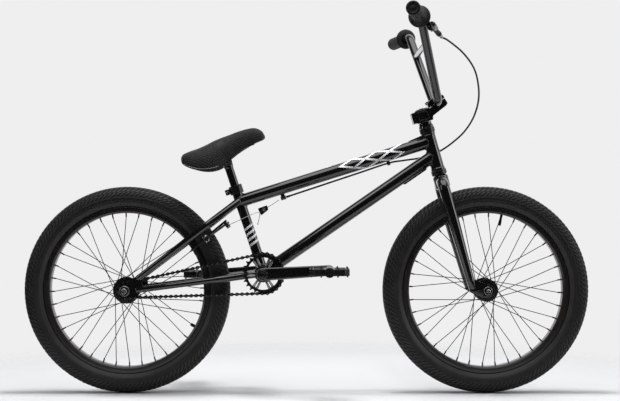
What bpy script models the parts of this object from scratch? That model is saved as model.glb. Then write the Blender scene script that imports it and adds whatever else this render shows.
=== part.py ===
"""A 20-inch BMX bicycle with a rear U-brake, as separate solids in metres.

+X is forward, +Y is the rider's left and +Z is up. The origin is on the ground,
midway between the two axles, so both tyres stand on Z = 0.
"""

import math

import bmesh
import bpy
from mathutils import Matrix, Vector

# Driving dimensions
WHEELBASE = 0.907
TYRE_RADIUS = 0.261
HEAD_ANGLE = math.radians(74.2)
SEAT_ANGLE = math.radians(71.7)
GAP = 0.0003
ROUND = 16
WHEEL_STEPS = 32

# Wheels
CASING_RADIUS = 0.0275
CASING_CENTRE = TYRE_RADIUS - CASING_RADIUS
CASING_INSIDE = 0.0245
RIM_FLANGE = 0.2095
RIM_SEAT = 0.2028
RIM_BED = 0.1965
RIM_INSIDE = 0.1940
RIM_HALF = 0.0178
RIM_WELL = 0.0161
SPOKES_PER_SIDE = 18
SPOKE_RADIUS = 0.0011
SPOKE_LEAN = math.radians(60)
VALVE_FRONT = math.radians(77.7)
VALVE_REAR = math.radians(-28.7)

# Frame
HEAD_POINT = Vector((0.3211, 0, 0.6116))
HEAD_HALF = 0.0490
HEAD_RADIUS = 0.0170
CUP_RADIUS = 0.0195
CUP_TOP = 0.0620
STEERER_RADIUS = 0.0127
MAIN_RADIUS = 0.0161
SEAT_TUBE_RADIUS = 0.0133
SEAT_TUBE_BORE = 0.0117
SEAT_TUBE_LENGTH = 0.2265
STAY_RADIUS = 0.0095
TUBE_WALL = 0.0014
BB_CENTRE = Vector((-0.1084, 0, 0.3036))
BB_HALF = 0.034
BB_RADIUS = 0.0225
BB_BORE = 0.0188
TOP_TUBE = (Vector((-0.1673, 0, 0.4855)), Vector((0.3140, 0, 0.6365)))
DOWN_TUBE = (BB_CENTRE, Vector((0.3230, 0, 0.6010)))
DROPOUT_INNER = 0.0553
DROPOUT_THICK = 0.0050

# Drive
CHAIN_PITCH = 0.0127
CHAINLINE = -0.0380
SPROCKET_TEETH = 25
DRIVER_TEETH = 9
TOOTH_THICK = 0.0026
ROLLER_RADIUS = 0.0039
CRANK_LENGTH = 0.165
CRANK_ANGLE = math.radians(3.4)
CRANK_INNER = 0.068
CRANK_THICK = 0.015

# Fork and bar
FORK_LEG_RADIUS = 0.0143
FORK_LEG_Y = 0.0495
FORK_LEG_BACK = -0.0025
BAR_RADIUS = 0.0111
BAR_CLAMP = Vector((0.329, 0, 0.733))
GRIP_INNER_END = Vector((0.2687, 0.222, 0.9230))
GRIP_OUTER_END = Vector((0.2430, 0.355, 0.9250))
BAR_CORNER = GRIP_INNER_END.lerp(GRIP_OUTER_END, -0.27)

# Seat
SEAT_PIVOT = Vector((-0.2010, 0, 0.5850))
POST_RADIUS = 0.0111

# Brake
STAY_SLOPE = math.radians(37.6)
BRAKE_PIVOT_UP = 0.2386
BRAKE_PIVOT_Y = 0.038
BRAKE_PAD_RADIUS = 0.1985
BRAKE_PAD_SIZE = (0.0080, 0.0080, 0.0400)

REAR_AXLE = Vector((-WHEELBASE / 2, 0, TYRE_RADIUS))
FRONT_AXLE = Vector((WHEELBASE / 2, 0, TYRE_RADIUS))
ACROSS = Vector((0, 1, 0))
UP = Vector((0, 0, 1))
STEER_UP = Vector((-math.cos(HEAD_ANGLE), 0, math.sin(HEAD_ANGLE)))
STEER_FORWARD = Vector((math.sin(HEAD_ANGLE), 0, math.cos(HEAD_ANGLE)))
SEAT_UP = Vector((-math.cos(SEAT_ANGLE), 0, math.sin(SEAT_ANGLE)))
STAY_UP = Vector((math.cos(STAY_SLOPE), 0, math.sin(STAY_SLOPE)))
STAY_DOWN = Vector((math.sin(STAY_SLOPE), 0, -math.cos(STAY_SLOPE)))
TOP_LINE = (TOP_TUBE[1] - TOP_TUBE[0]).normalized()
TOP_DOWN = Vector((TOP_LINE.z, 0, -TOP_LINE.x))
STOP_HALF = 0.007
CABLE_GUIDE = TOP_TUBE[0] + TOP_LINE * 0.387 + TOP_DOWN * 0.0205
CABLE_STOP = TOP_TUBE[0] + TOP_LINE * 0.1065 + TOP_DOWN * 0.0250


def steer(up, forward=0.0, across=0.0):
    """A point beside the steering axis, measured along it from the middle of the head tube."""
    return HEAD_POINT + STEER_UP * up + STEER_FORWARD * forward + ACROSS * across


def stay(up, across, down):
    """A point beside the seatstays: along them from the rear axle, across, and away from their lower side."""
    return REAR_AXLE + STAY_UP * up + ACROSS * across + STAY_DOWN * down


# Materials

COLOURS = {
    "gloss_black": ((0.008, 0.008, 0.009), 0.18, 0.0),
    "satin_black": ((0.020, 0.020, 0.021), 0.40, 0.0),
    "rim_black": ((0.026, 0.023, 0.021), 0.45, 0.6),
    "graphite": ((0.055, 0.056, 0.060), 0.35, 0.9),
    "steel": ((0.30, 0.30, 0.31), 0.30, 1.0),
    "black_steel": ((0.030, 0.030, 0.032), 0.35, 0.9),
    "tyre_rubber": ((0.016, 0.016, 0.016), 0.75, 0.0),
    "grip_rubber": ((0.035, 0.035, 0.036), 0.65, 0.0),
    "tube_rubber": ((0.020, 0.020, 0.020), 0.55, 0.0),
    "plastic": ((0.030, 0.030, 0.032), 0.50, 0.0),
    "saddle_cloth": ((0.018, 0.018, 0.019), 0.70, 0.0),
    "housing": ((0.045, 0.045, 0.045), 0.45, 0.0),
}


def material(name):
    found = bpy.data.materials.get(name)
    if found:
        return found
    colour, roughness, metallic = COLOURS[name]
    made = bpy.data.materials.new(name)
    made.use_nodes = True
    shader = made.node_tree.nodes["Principled BSDF"]
    shader.inputs["Base Color"].default_value = (*colour, 1)
    shader.inputs["Roughness"].default_value = roughness
    shader.inputs["Metallic"].default_value = metallic
    return made


# Building blocks: each returns a closed mesh object in world coordinates

def bike_collection():
    found = bpy.data.collections.get("bmx_bike")
    if not found:
        found = bpy.data.collections.new("bmx_bike")
        bpy.context.scene.collection.children.link(found)
    return found


def mesh_object(mesh):
    """Wraps a mesh in an object after welding it and turning its faces outward."""
    shape = bmesh.new()
    shape.from_mesh(mesh)
    bmesh.ops.remove_doubles(shape, verts=shape.verts, dist=1e-6)
    bmesh.ops.recalc_face_normals(shape, faces=shape.faces)
    shape.to_mesh(mesh)
    shape.free()
    made = bpy.data.objects.new("piece", mesh)
    bike_collection().objects.link(made)
    return made


def baked(source):
    """Replaces an object by a mesh object of its evaluated shape."""
    bpy.context.view_layer.update()
    graph = bpy.context.evaluated_depsgraph_get()
    mesh = bpy.data.meshes.new_from_object(source.evaluated_get(graph))
    mesh.transform(source.matrix_world)
    bpy.data.objects.remove(source)
    return mesh_object(mesh)


def frame_at(origin, x_axis, z_axis):
    """The matrix that puts local X and Z along two directions, at an origin."""
    z = z_axis.normalized()
    x = (x_axis - z * x_axis.dot(z)).normalized()
    rotation = Matrix((x, z.cross(x), z)).transposed()
    return Matrix.Translation(origin) @ rotation.to_4x4()


def along(origin, axis):
    """A matrix with local Z along an axis."""
    helper = ACROSS if abs(axis.normalized().dot(ACROSS)) < 0.9 else UP
    return frame_at(origin, helper.cross(axis), axis)


def rod(start, end, radius, sides=ROUND):
    shape = bmesh.new()
    bmesh.ops.create_cone(
        shape, cap_ends=True, segments=sides, radius1=radius, radius2=radius,
        depth=(end - start).length,
    )
    mesh = bpy.data.meshes.new("rod")
    shape.to_mesh(mesh)
    shape.free()
    mesh.transform(along((start + end) / 2, end - start))
    return mesh_object(mesh)


def box(size, matrix):
    shape = bmesh.new()
    bmesh.ops.create_cube(shape, size=1)
    mesh = bpy.data.meshes.new("box")
    shape.to_mesh(mesh)
    shape.free()
    mesh.transform(matrix @ Matrix.Diagonal((*size, 1)))
    return mesh_object(mesh)


def turned(profile, origin, axis, steps=ROUND, closed=True):
    """Turns a profile of (radius, height) points about an axis through the origin."""
    mesh = bpy.data.meshes.new("profile")
    links = [(i, i + 1) for i in range(len(profile) - 1)]
    if closed:
        links.append((len(profile) - 1, 0))
    mesh.from_pydata([(radius, 0, height) for radius, height in profile], links, [])
    source = bpy.data.objects.new("profile", mesh)
    bike_collection().objects.link(source)
    screw = source.modifiers.new("turn", "SCREW")
    screw.steps = steps
    screw.render_steps = steps
    screw.use_merge_vertices = True
    screw.merge_threshold = 1e-5
    source.matrix_world = along(origin, axis)
    return baked(source)


def rounded(points, radius, pieces=4):
    """A polyline whose inner corners are arcs of the given radius."""
    path = [points[0]]
    for before, corner, after in zip(points, points[1:], points[2:]):
        into = (corner - before).normalized()
        out = (after - corner).normalized()
        turn = into.angle(out)
        reach = radius * math.tan(turn / 2)
        reach = min(reach, 0.45 * (corner - before).length, 0.45 * (after - corner).length)
        bend = reach / math.tan(turn / 2)
        centre = corner + (out - into).normalized() * bend / math.cos(turn / 2)
        start = corner - into * reach - centre
        side = into
        for step in range(pieces + 1):
            angle = turn * step / pieces
            path.append(centre + start * math.cos(angle) + side * bend * math.sin(angle))
    return path + [points[-1]]


def tube(points, radius, resolution=2, wall=None):
    """A round tube along a path: solid with closed ends, or a hollow pipe where a wall is given."""
    curve = bpy.data.curves.new("path", "CURVE")
    curve.dimensions = "3D"
    curve.bevel_depth = radius
    curve.bevel_resolution = resolution
    curve.use_fill_caps = wall is None
    spline = curve.splines.new("POLY")
    spline.points.add(len(points) - 1)
    for target, point in zip(spline.points, points):
        target.co = (*point, 1)
    source = bpy.data.objects.new("path", curve)
    bike_collection().objects.link(source)
    made = baked(source)
    if wall is None:
        return made
    thicken = made.modifiers.new("wall", "SOLIDIFY")
    thicken.thickness = wall
    thicken.offset = -1
    return baked(made)


def plate(outlines, thickness, matrix):
    """A flat plate centred on its plane; outlines after the first are holes in it."""
    curve = bpy.data.curves.new("outline", "CURVE")
    curve.dimensions = "2D"
    curve.fill_mode = "BOTH"
    curve.extrude = thickness / 2
    for outline in outlines:
        spline = curve.splines.new("POLY")
        spline.points.add(len(outline) - 1)
        spline.use_cyclic_u = True
        for target, (x, y) in zip(spline.points, outline):
            target.co = (x, y, 0, 1)
    source = bpy.data.objects.new("outline", curve)
    bike_collection().objects.link(source)
    source.matrix_world = matrix
    return baked(source)


def gathered(pieces):
    """Puts separate pieces that don't touch into one object."""
    shape = bmesh.new()
    for piece in pieces:
        shape.from_mesh(piece.data)
        bpy.data.objects.remove(piece)
    mesh = bpy.data.meshes.new("group")
    shape.to_mesh(mesh)
    shape.free()
    return mesh_object(mesh)


def boolean(target, tool, operation):
    modifier = target.modifiers.new("boolean", "BOOLEAN")
    modifier.operation = operation
    modifier.solver = "EXACT"
    modifier.object = tool
    result = baked(target)
    bpy.data.objects.remove(tool)
    return result


def join(target, *others):
    for other in others:
        target = boolean(target, other, "UNION")
    return target


def cut(target, *tools):
    for tool in tools:
        target = boolean(target, tool, "DIFFERENCE")
    return target


def clear_of(target, start, end, radius):
    """Mitres a piece against a round neighbour, leaving the joint gap."""
    reach = (end - start).normalized() * 0.01
    return cut(target, rod(start - reach, end + reach, radius + 2 * GAP, 24))


def mirrored(source):
    """A copy on the other side of the bicycle."""
    mesh = source.data.copy()
    mesh.transform(Matrix.Diagonal((1, -1, 1, 1)))
    return mesh_object(mesh)


def arc(radius, start, end, pieces, centre=(0.0, 0.0)):
    """Points of an arc from one angle to another, both included."""
    return [
        (
            centre[0] + radius * math.cos(start + (end - start) * i / pieces),
            centre[1] + radius * math.sin(start + (end - start) * i / pieces),
        )
        for i in range(pieces + 1)
    ]


def capsule(first, first_radius, second, second_radius, pieces=6):
    """The outline round two circles: a straight or tapered arm with round ends."""
    reach = math.hypot(second[0] - first[0], second[1] - first[1])
    heading = math.atan2(second[1] - first[1], second[0] - first[0])
    flare = math.acos((first_radius - second_radius) / reach)
    back = arc(first_radius, heading + flare, heading + 2 * math.pi - flare, pieces, first)
    front = arc(second_radius, heading - flare, heading + flare, pieces, second)
    return back + front


def finish(made, name, look, origin=None):
    """Names a piece, gives it its material and puts its origin on its axis."""
    made.name = name
    made.data.name = name
    made.data.materials.clear()
    made.data.materials.append(material(look))
    if origin is not None:
        made.data.transform(Matrix.Translation(-origin))
        made.location = origin
    made.data.shade_smooth()
    made.data.set_sharp_from_angle(angle=math.radians(35))
    return made


# Wheels

def wheel_ring(profile, axle, steps=WHEEL_STEPS):
    return turned(profile, axle, -ACROSS, steps)


def tyre(name, axle):
    outer = [(0.2032, 0.0130), (0.2032, 0.0156), (RIM_FLANGE + 2 * GAP, 0.0156)]
    for degrees in (110, 75, 42):
        angle = math.radians(degrees)
        outer.append((
            CASING_CENTRE + CASING_RADIUS * math.cos(angle),
            CASING_RADIUS * math.sin(angle),
        ))
    outer.append((TYRE_RADIUS, 0.0100))
    inner = []
    for degrees in (0, 62, 128):
        angle = math.radians(degrees)
        inner.append((
            CASING_CENTRE + CASING_INSIDE * math.cos(angle),
            CASING_INSIDE * math.sin(angle),
        ))
    right = [(radius, -across) for radius, across in reversed(outer)]
    inside_right = [(radius, -across) for radius, across in reversed(inner[1:])]
    section = outer + right + inside_right + inner
    finish(wheel_ring(section, axle), name, "tyre_rubber", axle)


def inner_tube(name, axle, valve_angle):
    """A thin rubber ring, open along its tread side so that it isn't a sealed hollow."""
    middle, radius, wall = 0.2335, 0.0185, 0.0012
    opening = math.radians(12)
    angles = [opening + (2 * math.pi - 2 * opening) * i / 5 for i in range(6)]
    outside = [(middle + radius * math.cos(a), radius * math.sin(a)) for a in angles]
    inside = [
        (middle + (radius - wall) * math.cos(a), (radius - wall) * math.sin(a))
        for a in reversed(angles)
    ]
    ring = wheel_ring(outside + inside, axle, 24)
    heading = Vector((math.cos(valve_angle), 0, math.sin(valve_angle)))
    stem = rod(axle + heading * 0.2215, axle + heading * 0.176, 0.0030, 8)
    cap = rod(axle + heading * 0.179, axle + heading * 0.166, 0.0038, 8)
    finish(join(ring, join(stem, cap)), name, "tube_rubber", axle)


def rim(name, axle, valve_angle):
    half = [
        (RIM_INSIDE, 0.0145),
        (0.1985, RIM_HALF),
        (RIM_FLANGE, RIM_HALF),
        (RIM_FLANGE, RIM_WELL),
        (RIM_SEAT, RIM_WELL),
        (RIM_BED, 0.0105),
    ]
    section = half + [(radius, -across) for radius, across in reversed(half)]
    ring = wheel_ring(section, axle)
    heading = Vector((math.cos(valve_angle), 0, math.sin(valve_angle)))
    hole = rod(axle + heading * 0.185, axle + heading * 0.206, 0.0042, 12)
    finish(cut(ring, hole), name, "rim_black", axle)


def spokes(name, axle, hub_radius, hub_y, side, phase):
    """One side's crossed spokes. The two leans lie on nearly one hyperboloid, so each crossing joins them."""
    rim_radius = RIM_INSIDE * math.cos(math.pi / WHEEL_STEPS) - 3 * GAP
    step = 4 * math.pi / SPOKES_PER_SIDE
    families = []
    for lean, offset, sides, shift in ((SPOKE_LEAN, step / 2, 4, 0), (-SPOKE_LEAN, 0, 3, 0.0004)):
        family = []
        for number in range(SPOKES_PER_SIDE // 2):
            at_rim = phase + offset + step * number
            at_hub = at_rim + lean
            outer = Vector((
                rim_radius * math.cos(at_rim), side * 0.004, rim_radius * math.sin(at_rim)
            ))
            inner = Vector((
                hub_radius * math.cos(at_hub), side * (hub_y + shift), hub_radius * math.sin(at_hub)
            ))
            family.append(rod(axle + inner, axle + outer, SPOKE_RADIUS, sides))
        families.append(gathered(family))
    finish(join(*families), name, "black_steel", axle)


def hub(name, axle, right_flange, left_flange, right_end, left_end, bore):
    """A turned shell: each flange is (radius, inner face, outer face)."""
    barrel = 0.0150
    section = [
        (bore, -right_end),
        (0.0125, -right_end),
        (0.0125, -right_flange[2]),
        (right_flange[0], -right_flange[2]),
        (right_flange[0], -right_flange[1]),
        (barrel, -right_flange[1] + 0.004),
        (barrel, left_flange[1] - 0.004),
        (left_flange[0], left_flange[1]),
        (left_flange[0], left_flange[2]),
        (0.0160, left_flange[2]),
        (0.0160, left_end),
        (bore, left_end),
    ]
    finish(turned(section, axle, ACROSS), name, "satin_black", axle)


def axle_rod(name, axle, radius, half, shoulder_radius, shoulder_in, shoulder_out):
    profile = [
        (0, -half), (radius, -half), (radius, -shoulder_out), (shoulder_radius, -shoulder_out),
        (shoulder_radius, -shoulder_in), (radius, -shoulder_in), (radius, shoulder_in),
        (shoulder_radius, shoulder_in), (shoulder_radius, shoulder_out), (radius, shoulder_out),
        (radius, half), (0, half),
    ]
    finish(turned(profile, axle, ACROSS, 12, closed=False), name, "steel", axle)


def axle_nut(name, axle, side, inner, height, corner, bore):
    body = rod(
        axle + ACROSS * side * inner, axle + ACROSS * side * (inner + 0.0025), corner * 1.15, ROUND
    )
    hexagon = rod(
        axle + ACROSS * side * (inner + 0.0020), axle + ACROSS * side * (inner + height), corner, 6
    )
    hole = rod(
        axle + ACROSS * side * (inner - 0.002), axle + ACROSS * side * (inner + height + 0.002),
        bore, 12,
    )
    finish(cut(join(body, hexagon), hole), name, "black_steel", axle)


def wheels():
    for end, axle, valve in (("front", FRONT_AXLE, VALVE_FRONT), ("rear", REAR_AXLE, VALVE_REAR)):
        tyre(f"{end}_tyre", axle)
        inner_tube(f"{end}_inner_tube", axle, valve)
        rim(f"{end}_rim", axle, valve)
    hub("front_hub", FRONT_AXLE, (0.0290, 0.0270, 0.0300), (0.0290, 0.0270, 0.0300),
        0.0410, 0.0410, 0.0060)
    hub("rear_hub", REAR_AXLE, (0.0340, 0.0208, 0.0238), (0.0290, 0.0300, 0.0330),
        0.0280, 0.0465, 0.0078)
    between = math.pi / SPOKES_PER_SIDE
    spokes("front_spokes_right", FRONT_AXLE, 0.0255, 0.0330, -1, VALVE_FRONT + between)
    spokes("front_spokes_left", FRONT_AXLE, 0.0255, 0.0330, 1, VALVE_FRONT + 2 * between)
    spokes("rear_spokes_right", REAR_AXLE, 0.0300, 0.0272, -1, VALVE_REAR + between)
    spokes("rear_spokes_left", REAR_AXLE, 0.0255, 0.0362, 1, VALVE_REAR + 2 * between)
    axle_rod("front_axle", FRONT_AXLE, 0.0048, 0.0670, 0.0085, 0.0415, 0.0500)
    axle_rod("rear_axle", REAR_AXLE, 0.0070, 0.0730, 0.0110, 0.0480, 0.0550)
    for name, side in (("left", 1), ("right", -1)):
        axle_nut(f"front_nut_{name}", FRONT_AXLE, side, 0.0557, 0.0090, 0.0096, 0.0054)
        axle_nut(f"rear_nut_{name}", REAR_AXLE, side, 0.0607, 0.0100, 0.0115, 0.0076)


# Frame

def frame_tubes():
    head = turned(
        [(HEAD_RADIUS, HEAD_HALF), (HEAD_RADIUS, -HEAD_HALF),
         (0.0150, -HEAD_HALF), (0.0150, HEAD_HALF)],
        HEAD_POINT, STEER_UP,
    )
    finish(head, "head_tube", "gloss_black")
    for name, side in (("upper", 1), ("lower", -1)):
        profile = [
            (0.0143, 0.0400), (0.0143, HEAD_HALF + GAP), (CUP_RADIUS, HEAD_HALF + GAP),
            (CUP_RADIUS, CUP_TOP - 0.002), (CUP_RADIUS - 0.0015, CUP_TOP),
            (0.0134, CUP_TOP), (0.0134, 0.0400),
        ]
        cup = turned([(r, side * h) for r, h in profile], HEAD_POINT, STEER_UP)
        finish(cup, f"headset_cup_{name}", "satin_black")

    shell = turned(
        [(BB_RADIUS, BB_HALF), (BB_RADIUS, -BB_HALF), (BB_BORE, -BB_HALF), (BB_BORE, BB_HALF)],
        BB_CENTRE, ACROSS, 20,
    )
    finish(shell, "bb_shell", "gloss_black")
    for name, side in (("left", 1), ("right", -1)):
        bearing = turned(
            [(0.0182, 0.0245), (0.0182, 0.0335), (0.0100, 0.0335), (0.0100, 0.0245)],
            BB_CENTRE, ACROSS * side,
        )
        finish(bearing, f"bb_bearing_{name}", "steel")


def main_tubes():
    head_ends = (steer(-HEAD_HALF), steer(HEAD_HALF))
    bb_ends = (BB_CENTRE - ACROSS * BB_HALF, BB_CENTRE + ACROSS * BB_HALF)
    seat_top = BB_CENTRE + SEAT_UP * SEAT_TUBE_LENGTH

    down = tube(DOWN_TUBE, MAIN_RADIUS, 4, TUBE_WALL)
    gusset_low = DOWN_TUBE[1] - (DOWN_TUBE[1] - DOWN_TUBE[0]).normalized() * 0.070
    lower_gusset = plate(
        [[(-0.034, 0.012), (-0.022, -0.004), (0.044, -0.004), (0.064, 0.012)]],
        0.004, frame_at(gusset_low - UP * 0.0185, DOWN_TUBE[1] - DOWN_TUBE[0], -ACROSS),
    )
    down = join(down, lower_gusset)
    down = clear_of(down, *head_ends, HEAD_RADIUS)
    down = clear_of(down, *bb_ends, BB_RADIUS)
    finish(down, "down_tube", "gloss_black")

    top = tube(TOP_TUBE, MAIN_RADIUS, 4, TUBE_WALL)
    gusset = plate(
        [[(-0.042, 0.013), (-0.024, 0.018), (0.014, 0.022), (0.030, 0.013)]],
        0.004, frame_at(TOP_TUBE[1] - TOP_LINE * 0.024, TOP_LINE, -ACROSS),
    )
    guide = turned(
        [(0.0060, 0.004), (0.0060, -0.004), (0.0037, -0.004), (0.0037, 0.004)],
        CABLE_GUIDE, TOP_LINE, 12,
    )
    stop = turned(
        [(0.0050, STOP_HALF), (0.0050, -STOP_HALF), (0.0016, -STOP_HALF), (0.0016, STOP_HALF)],
        CABLE_STOP, TOP_LINE, 12,
    )
    post = box((0.010, 0.004, 0.008), frame_at(CABLE_STOP - TOP_DOWN * 0.0075, TOP_LINE, -TOP_DOWN))
    top = join(top, gusset, guide, join(stop, post))
    top = clear_of(top, *head_ends, HEAD_RADIUS)
    top = clear_of(top, BB_CENTRE, seat_top, SEAT_TUBE_RADIUS)
    finish(top, "top_tube", "gloss_black")

    seat = turned(
        [(SEAT_TUBE_RADIUS, SEAT_TUBE_LENGTH), (SEAT_TUBE_RADIUS, 0),
         (SEAT_TUBE_BORE, 0), (SEAT_TUBE_BORE, SEAT_TUBE_LENGTH)],
        BB_CENTRE, SEAT_UP,
    )
    seat = clear_of(seat, *bb_ends, BB_RADIUS)
    seat = clear_of(seat, *DOWN_TUBE, MAIN_RADIUS)
    finish(seat, "seat_tube", "gloss_black")

    clamp_low = BB_CENTRE + SEAT_UP * (SEAT_TUBE_LENGTH - 0.0150)
    clamp = turned(
        [(0.0172, 0.0215), (0.0172, 0), (0.0141, 0), (0.0141, 0.0155),
         (0.0118, 0.0155), (0.0118, 0.0215)],
        clamp_low, SEAT_UP,
    )
    back = SEAT_UP.cross(ACROSS)
    lug = box((0.014, 0.016, 0.014), frame_at(clamp_low + back * 0.0215 + SEAT_UP * 0.0105, back, SEAT_UP))
    bolt_at = clamp_low + back * 0.0225 + SEAT_UP * 0.0105
    bolt = rod(bolt_at - ACROSS * 0.0135, bolt_at + ACROSS * 0.0125, 0.0042, 8)
    slit = box((0.030, 0.002, 0.040), frame_at(clamp_low + back * 0.0150 + SEAT_UP * 0.0105, back, SEAT_UP))
    clamp = join(cut(join(clamp, lug), slit), bolt)
    finish(clamp, "seat_clamp", "satin_black")


def stays():
    bb_ends = (BB_CENTRE - ACROSS * BB_HALF, BB_CENTRE + ACROSS * BB_HALF)
    seat_top = BB_CENTRE + SEAT_UP * SEAT_TUBE_LENGTH
    chain_path = rounded(
        [Vector((-0.4235, 0.0580, 0.2635)), Vector((-0.2250, 0.0430, 0.2886)),
         Vector((-0.1660, 0.0240, 0.2962)), Vector((-0.1100, 0.0215, 0.3030))],
        0.060, 2,
    )
    middle = DROPOUT_INNER + DROPOUT_THICK / 2
    drop_frame = frame_at(REAR_AXLE + ACROSS * middle, Vector((1, 0, 0)), -ACROSS)
    slot = arc(0.0074, math.radians(90), math.radians(-90), 6) + [(-0.030, -0.0074), (-0.030, 0.0074)]
    outline = (
        arc(0.0175, math.radians(70), math.radians(290), 8)
        + [(0.034, -0.0090), (0.044, 0.0060), (0.043, 0.0220), (0.030, 0.0360), (0.018, 0.0300)]
    )
    dropout = cut(
        plate([outline], DROPOUT_THICK, drop_frame),
        plate([slot], 2 * DROPOUT_THICK, drop_frame),
    )
    chainstay = join(tube(chain_path, STAY_RADIUS, 3, TUBE_WALL), dropout)
    chainstay = clear_of(chainstay, *bb_ends, BB_RADIUS)
    chainstay = clear_of(chainstay, BB_CENTRE, seat_top, SEAT_TUBE_RADIUS)

    line = [
        Vector((-0.4210, 0.0580, 0.2925)),
        Vector((-0.2475, 0.0430, 0.4262)),
        Vector((-0.1660, 0.0150, 0.4890)),
    ]
    seatstay = tube(rounded(line, 0.050, 2), STAY_RADIUS, 3, TUBE_WALL)
    pin_low = stay(BRAKE_PIVOT_UP, BRAKE_PIVOT_Y, -0.004)
    pin_high = stay(BRAKE_PIVOT_UP, BRAKE_PIVOT_Y, 0.0257)
    pin = rod(pin_low, pin_high, 0.0045, 10)
    seatstay = join(seatstay, pin)
    grown = [(x * 1.03 + 0.0002, z * 1.03) for x, z in outline]
    seatstay = cut(seatstay, plate([grown], DROPOUT_THICK + 2 * GAP, drop_frame))
    seatstay = clear_of(seatstay, BB_CENTRE, seat_top, SEAT_TUBE_RADIUS)
    seatstay = clear_of(seatstay, *TOP_TUBE, MAIN_RADIUS)
    for name, piece in (("chainstay", chainstay), ("seatstay", seatstay)):
        other = mirrored(piece)
        finish(piece, f"{name}_left", "gloss_black")
        finish(other, f"{name}_right", "gloss_black")


# Fork, stem and bar

def fork():
    steerer = tube([steer(-0.075), steer(0.1085)], STEERER_RADIUS, 3, 0.0022)
    crown = turned(
        [(0, -0.0625), (0.0170, -0.0625), (0.0195, -0.0660), (0.0195, -0.0940), (0, -0.0940)],
        HEAD_POINT, STEER_UP, ROUND, closed=False,
    )
    made = join(crown, steerer)
    axle_up = (FRONT_AXLE - HEAD_POINT).dot(STEER_UP)
    axle_forward = (FRONT_AXLE - HEAD_POINT).dot(STEER_FORWARD)
    for side in (1, -1):
        path = rounded(
            [steer(-0.0790, FORK_LEG_BACK, side * 0.004),
             steer(-0.0830, FORK_LEG_BACK, side * FORK_LEG_Y),
             steer(-0.3560, FORK_LEG_BACK, side * FORK_LEG_Y)],
            0.034, 3,
        )
        leg = tube(path, FORK_LEG_RADIUS, 3, TUBE_WALL)
        plane = frame_at(
            steer(axle_up, axle_forward, side * 0.0528), STEER_FORWARD, -ACROSS
        )
        back = -axle_forward + FORK_LEG_BACK
        outline = (
            [(back - 0.009, 0.034), (back - 0.009, 0.010), (-0.018, -0.012)]
            + arc(0.0160, math.radians(-110), math.radians(75), 7)
            + [(back + 0.009, 0.034)]
        )
        hole = rod(
            FRONT_AXLE + ACROSS * side * 0.045, FRONT_AXLE + ACROSS * side * 0.060, 0.0053, 12
        )
        made = join(made, join(leg, cut(plate([outline], 0.005, plane), hole)))
    finish(made, "fork", "gloss_black", HEAD_POINT)


def stem():
    cover = turned(
        [(CUP_RADIUS, 0.0624), (0.0134, 0.0624), (0.0134, 0.0757), (0.0165, 0.0757)],
        HEAD_POINT, STEER_UP,
    )
    finish(cover, "headset_cover", "satin_black", HEAD_POINT)

    clamp_up = (BAR_CLAMP - HEAD_POINT).dot(STEER_UP)
    clamp_forward = (BAR_CLAMP - HEAD_POINT).dot(STEER_FORWARD)
    rise = math.radians(18)
    side_plane = frame_at(HEAD_POINT, STEER_FORWARD, -ACROSS)

    def by_bar(along_arm, above):
        """A point of the stem's side, from the bar's centre along the arm and above it."""
        return (
            clamp_forward + along_arm * math.cos(rise) - above * math.sin(rise),
            clamp_up + along_arm * math.sin(rise) + above * math.cos(rise),
        )

    outline = [
        (-0.0200, 0.0765), (0.0200, 0.0765), (0.0225, 0.0860), by_bar(0.0160, -0.0185),
        by_bar(0.0225, -0.0150), by_bar(0.0225, -0.0008), by_bar(-0.0225, -0.0008),
        (0.0160, 0.1085), (-0.0200, 0.1085),
    ]
    body = plate([outline], 0.050, side_plane)
    for height in (0.0845, 0.1005):
        lug = plate([capsule((-0.018, height), 0.0068, (-0.024, height), 0.0062, 5)], 0.044, side_plane)
        bolt = rod(steer(height, -0.0252, -0.0270), steer(height, -0.0252, 0.0270), 0.0040, 8)
        body = join(body, join(lug, bolt))
    body = cut(
        body, rod(steer(0.06), steer(0.13), STEERER_RADIUS + 2 * GAP, 20),
        rod(BAR_CLAMP - ACROSS * 0.04, BAR_CLAMP + ACROSS * 0.04, BAR_RADIUS + 2 * GAP, 20),
    )
    finish(body, "stem", "satin_black", HEAD_POINT)

    cap_outline = [
        by_bar(-0.0235, 0.0005), by_bar(0.0235, 0.0005), by_bar(0.0235, 0.0090),
        by_bar(0.0120, 0.0165), by_bar(-0.0120, 0.0165), by_bar(-0.0235, 0.0090),
    ]
    cap = cut(
        plate([cap_outline], 0.050, side_plane),
        rod(BAR_CLAMP - ACROSS * 0.04, BAR_CLAMP + ACROSS * 0.04, BAR_RADIUS + 2 * GAP, 20),
    )
    normal = -STEER_FORWARD * math.sin(rise) + STEER_UP * math.cos(rise)
    arm = STEER_FORWARD * math.cos(rise) + STEER_UP * math.sin(rise)
    for reach in (-0.0185, 0.0185):
        for across in (-0.0165, 0.0165):
            foot = BAR_CLAMP + arm * reach + ACROSS * across + normal * 0.006
            cap = join(cap, rod(foot, foot + normal * 0.0105, 0.0042, 8))
    finish(cap, "stem_bar_cap", "satin_black", HEAD_POINT)


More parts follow.
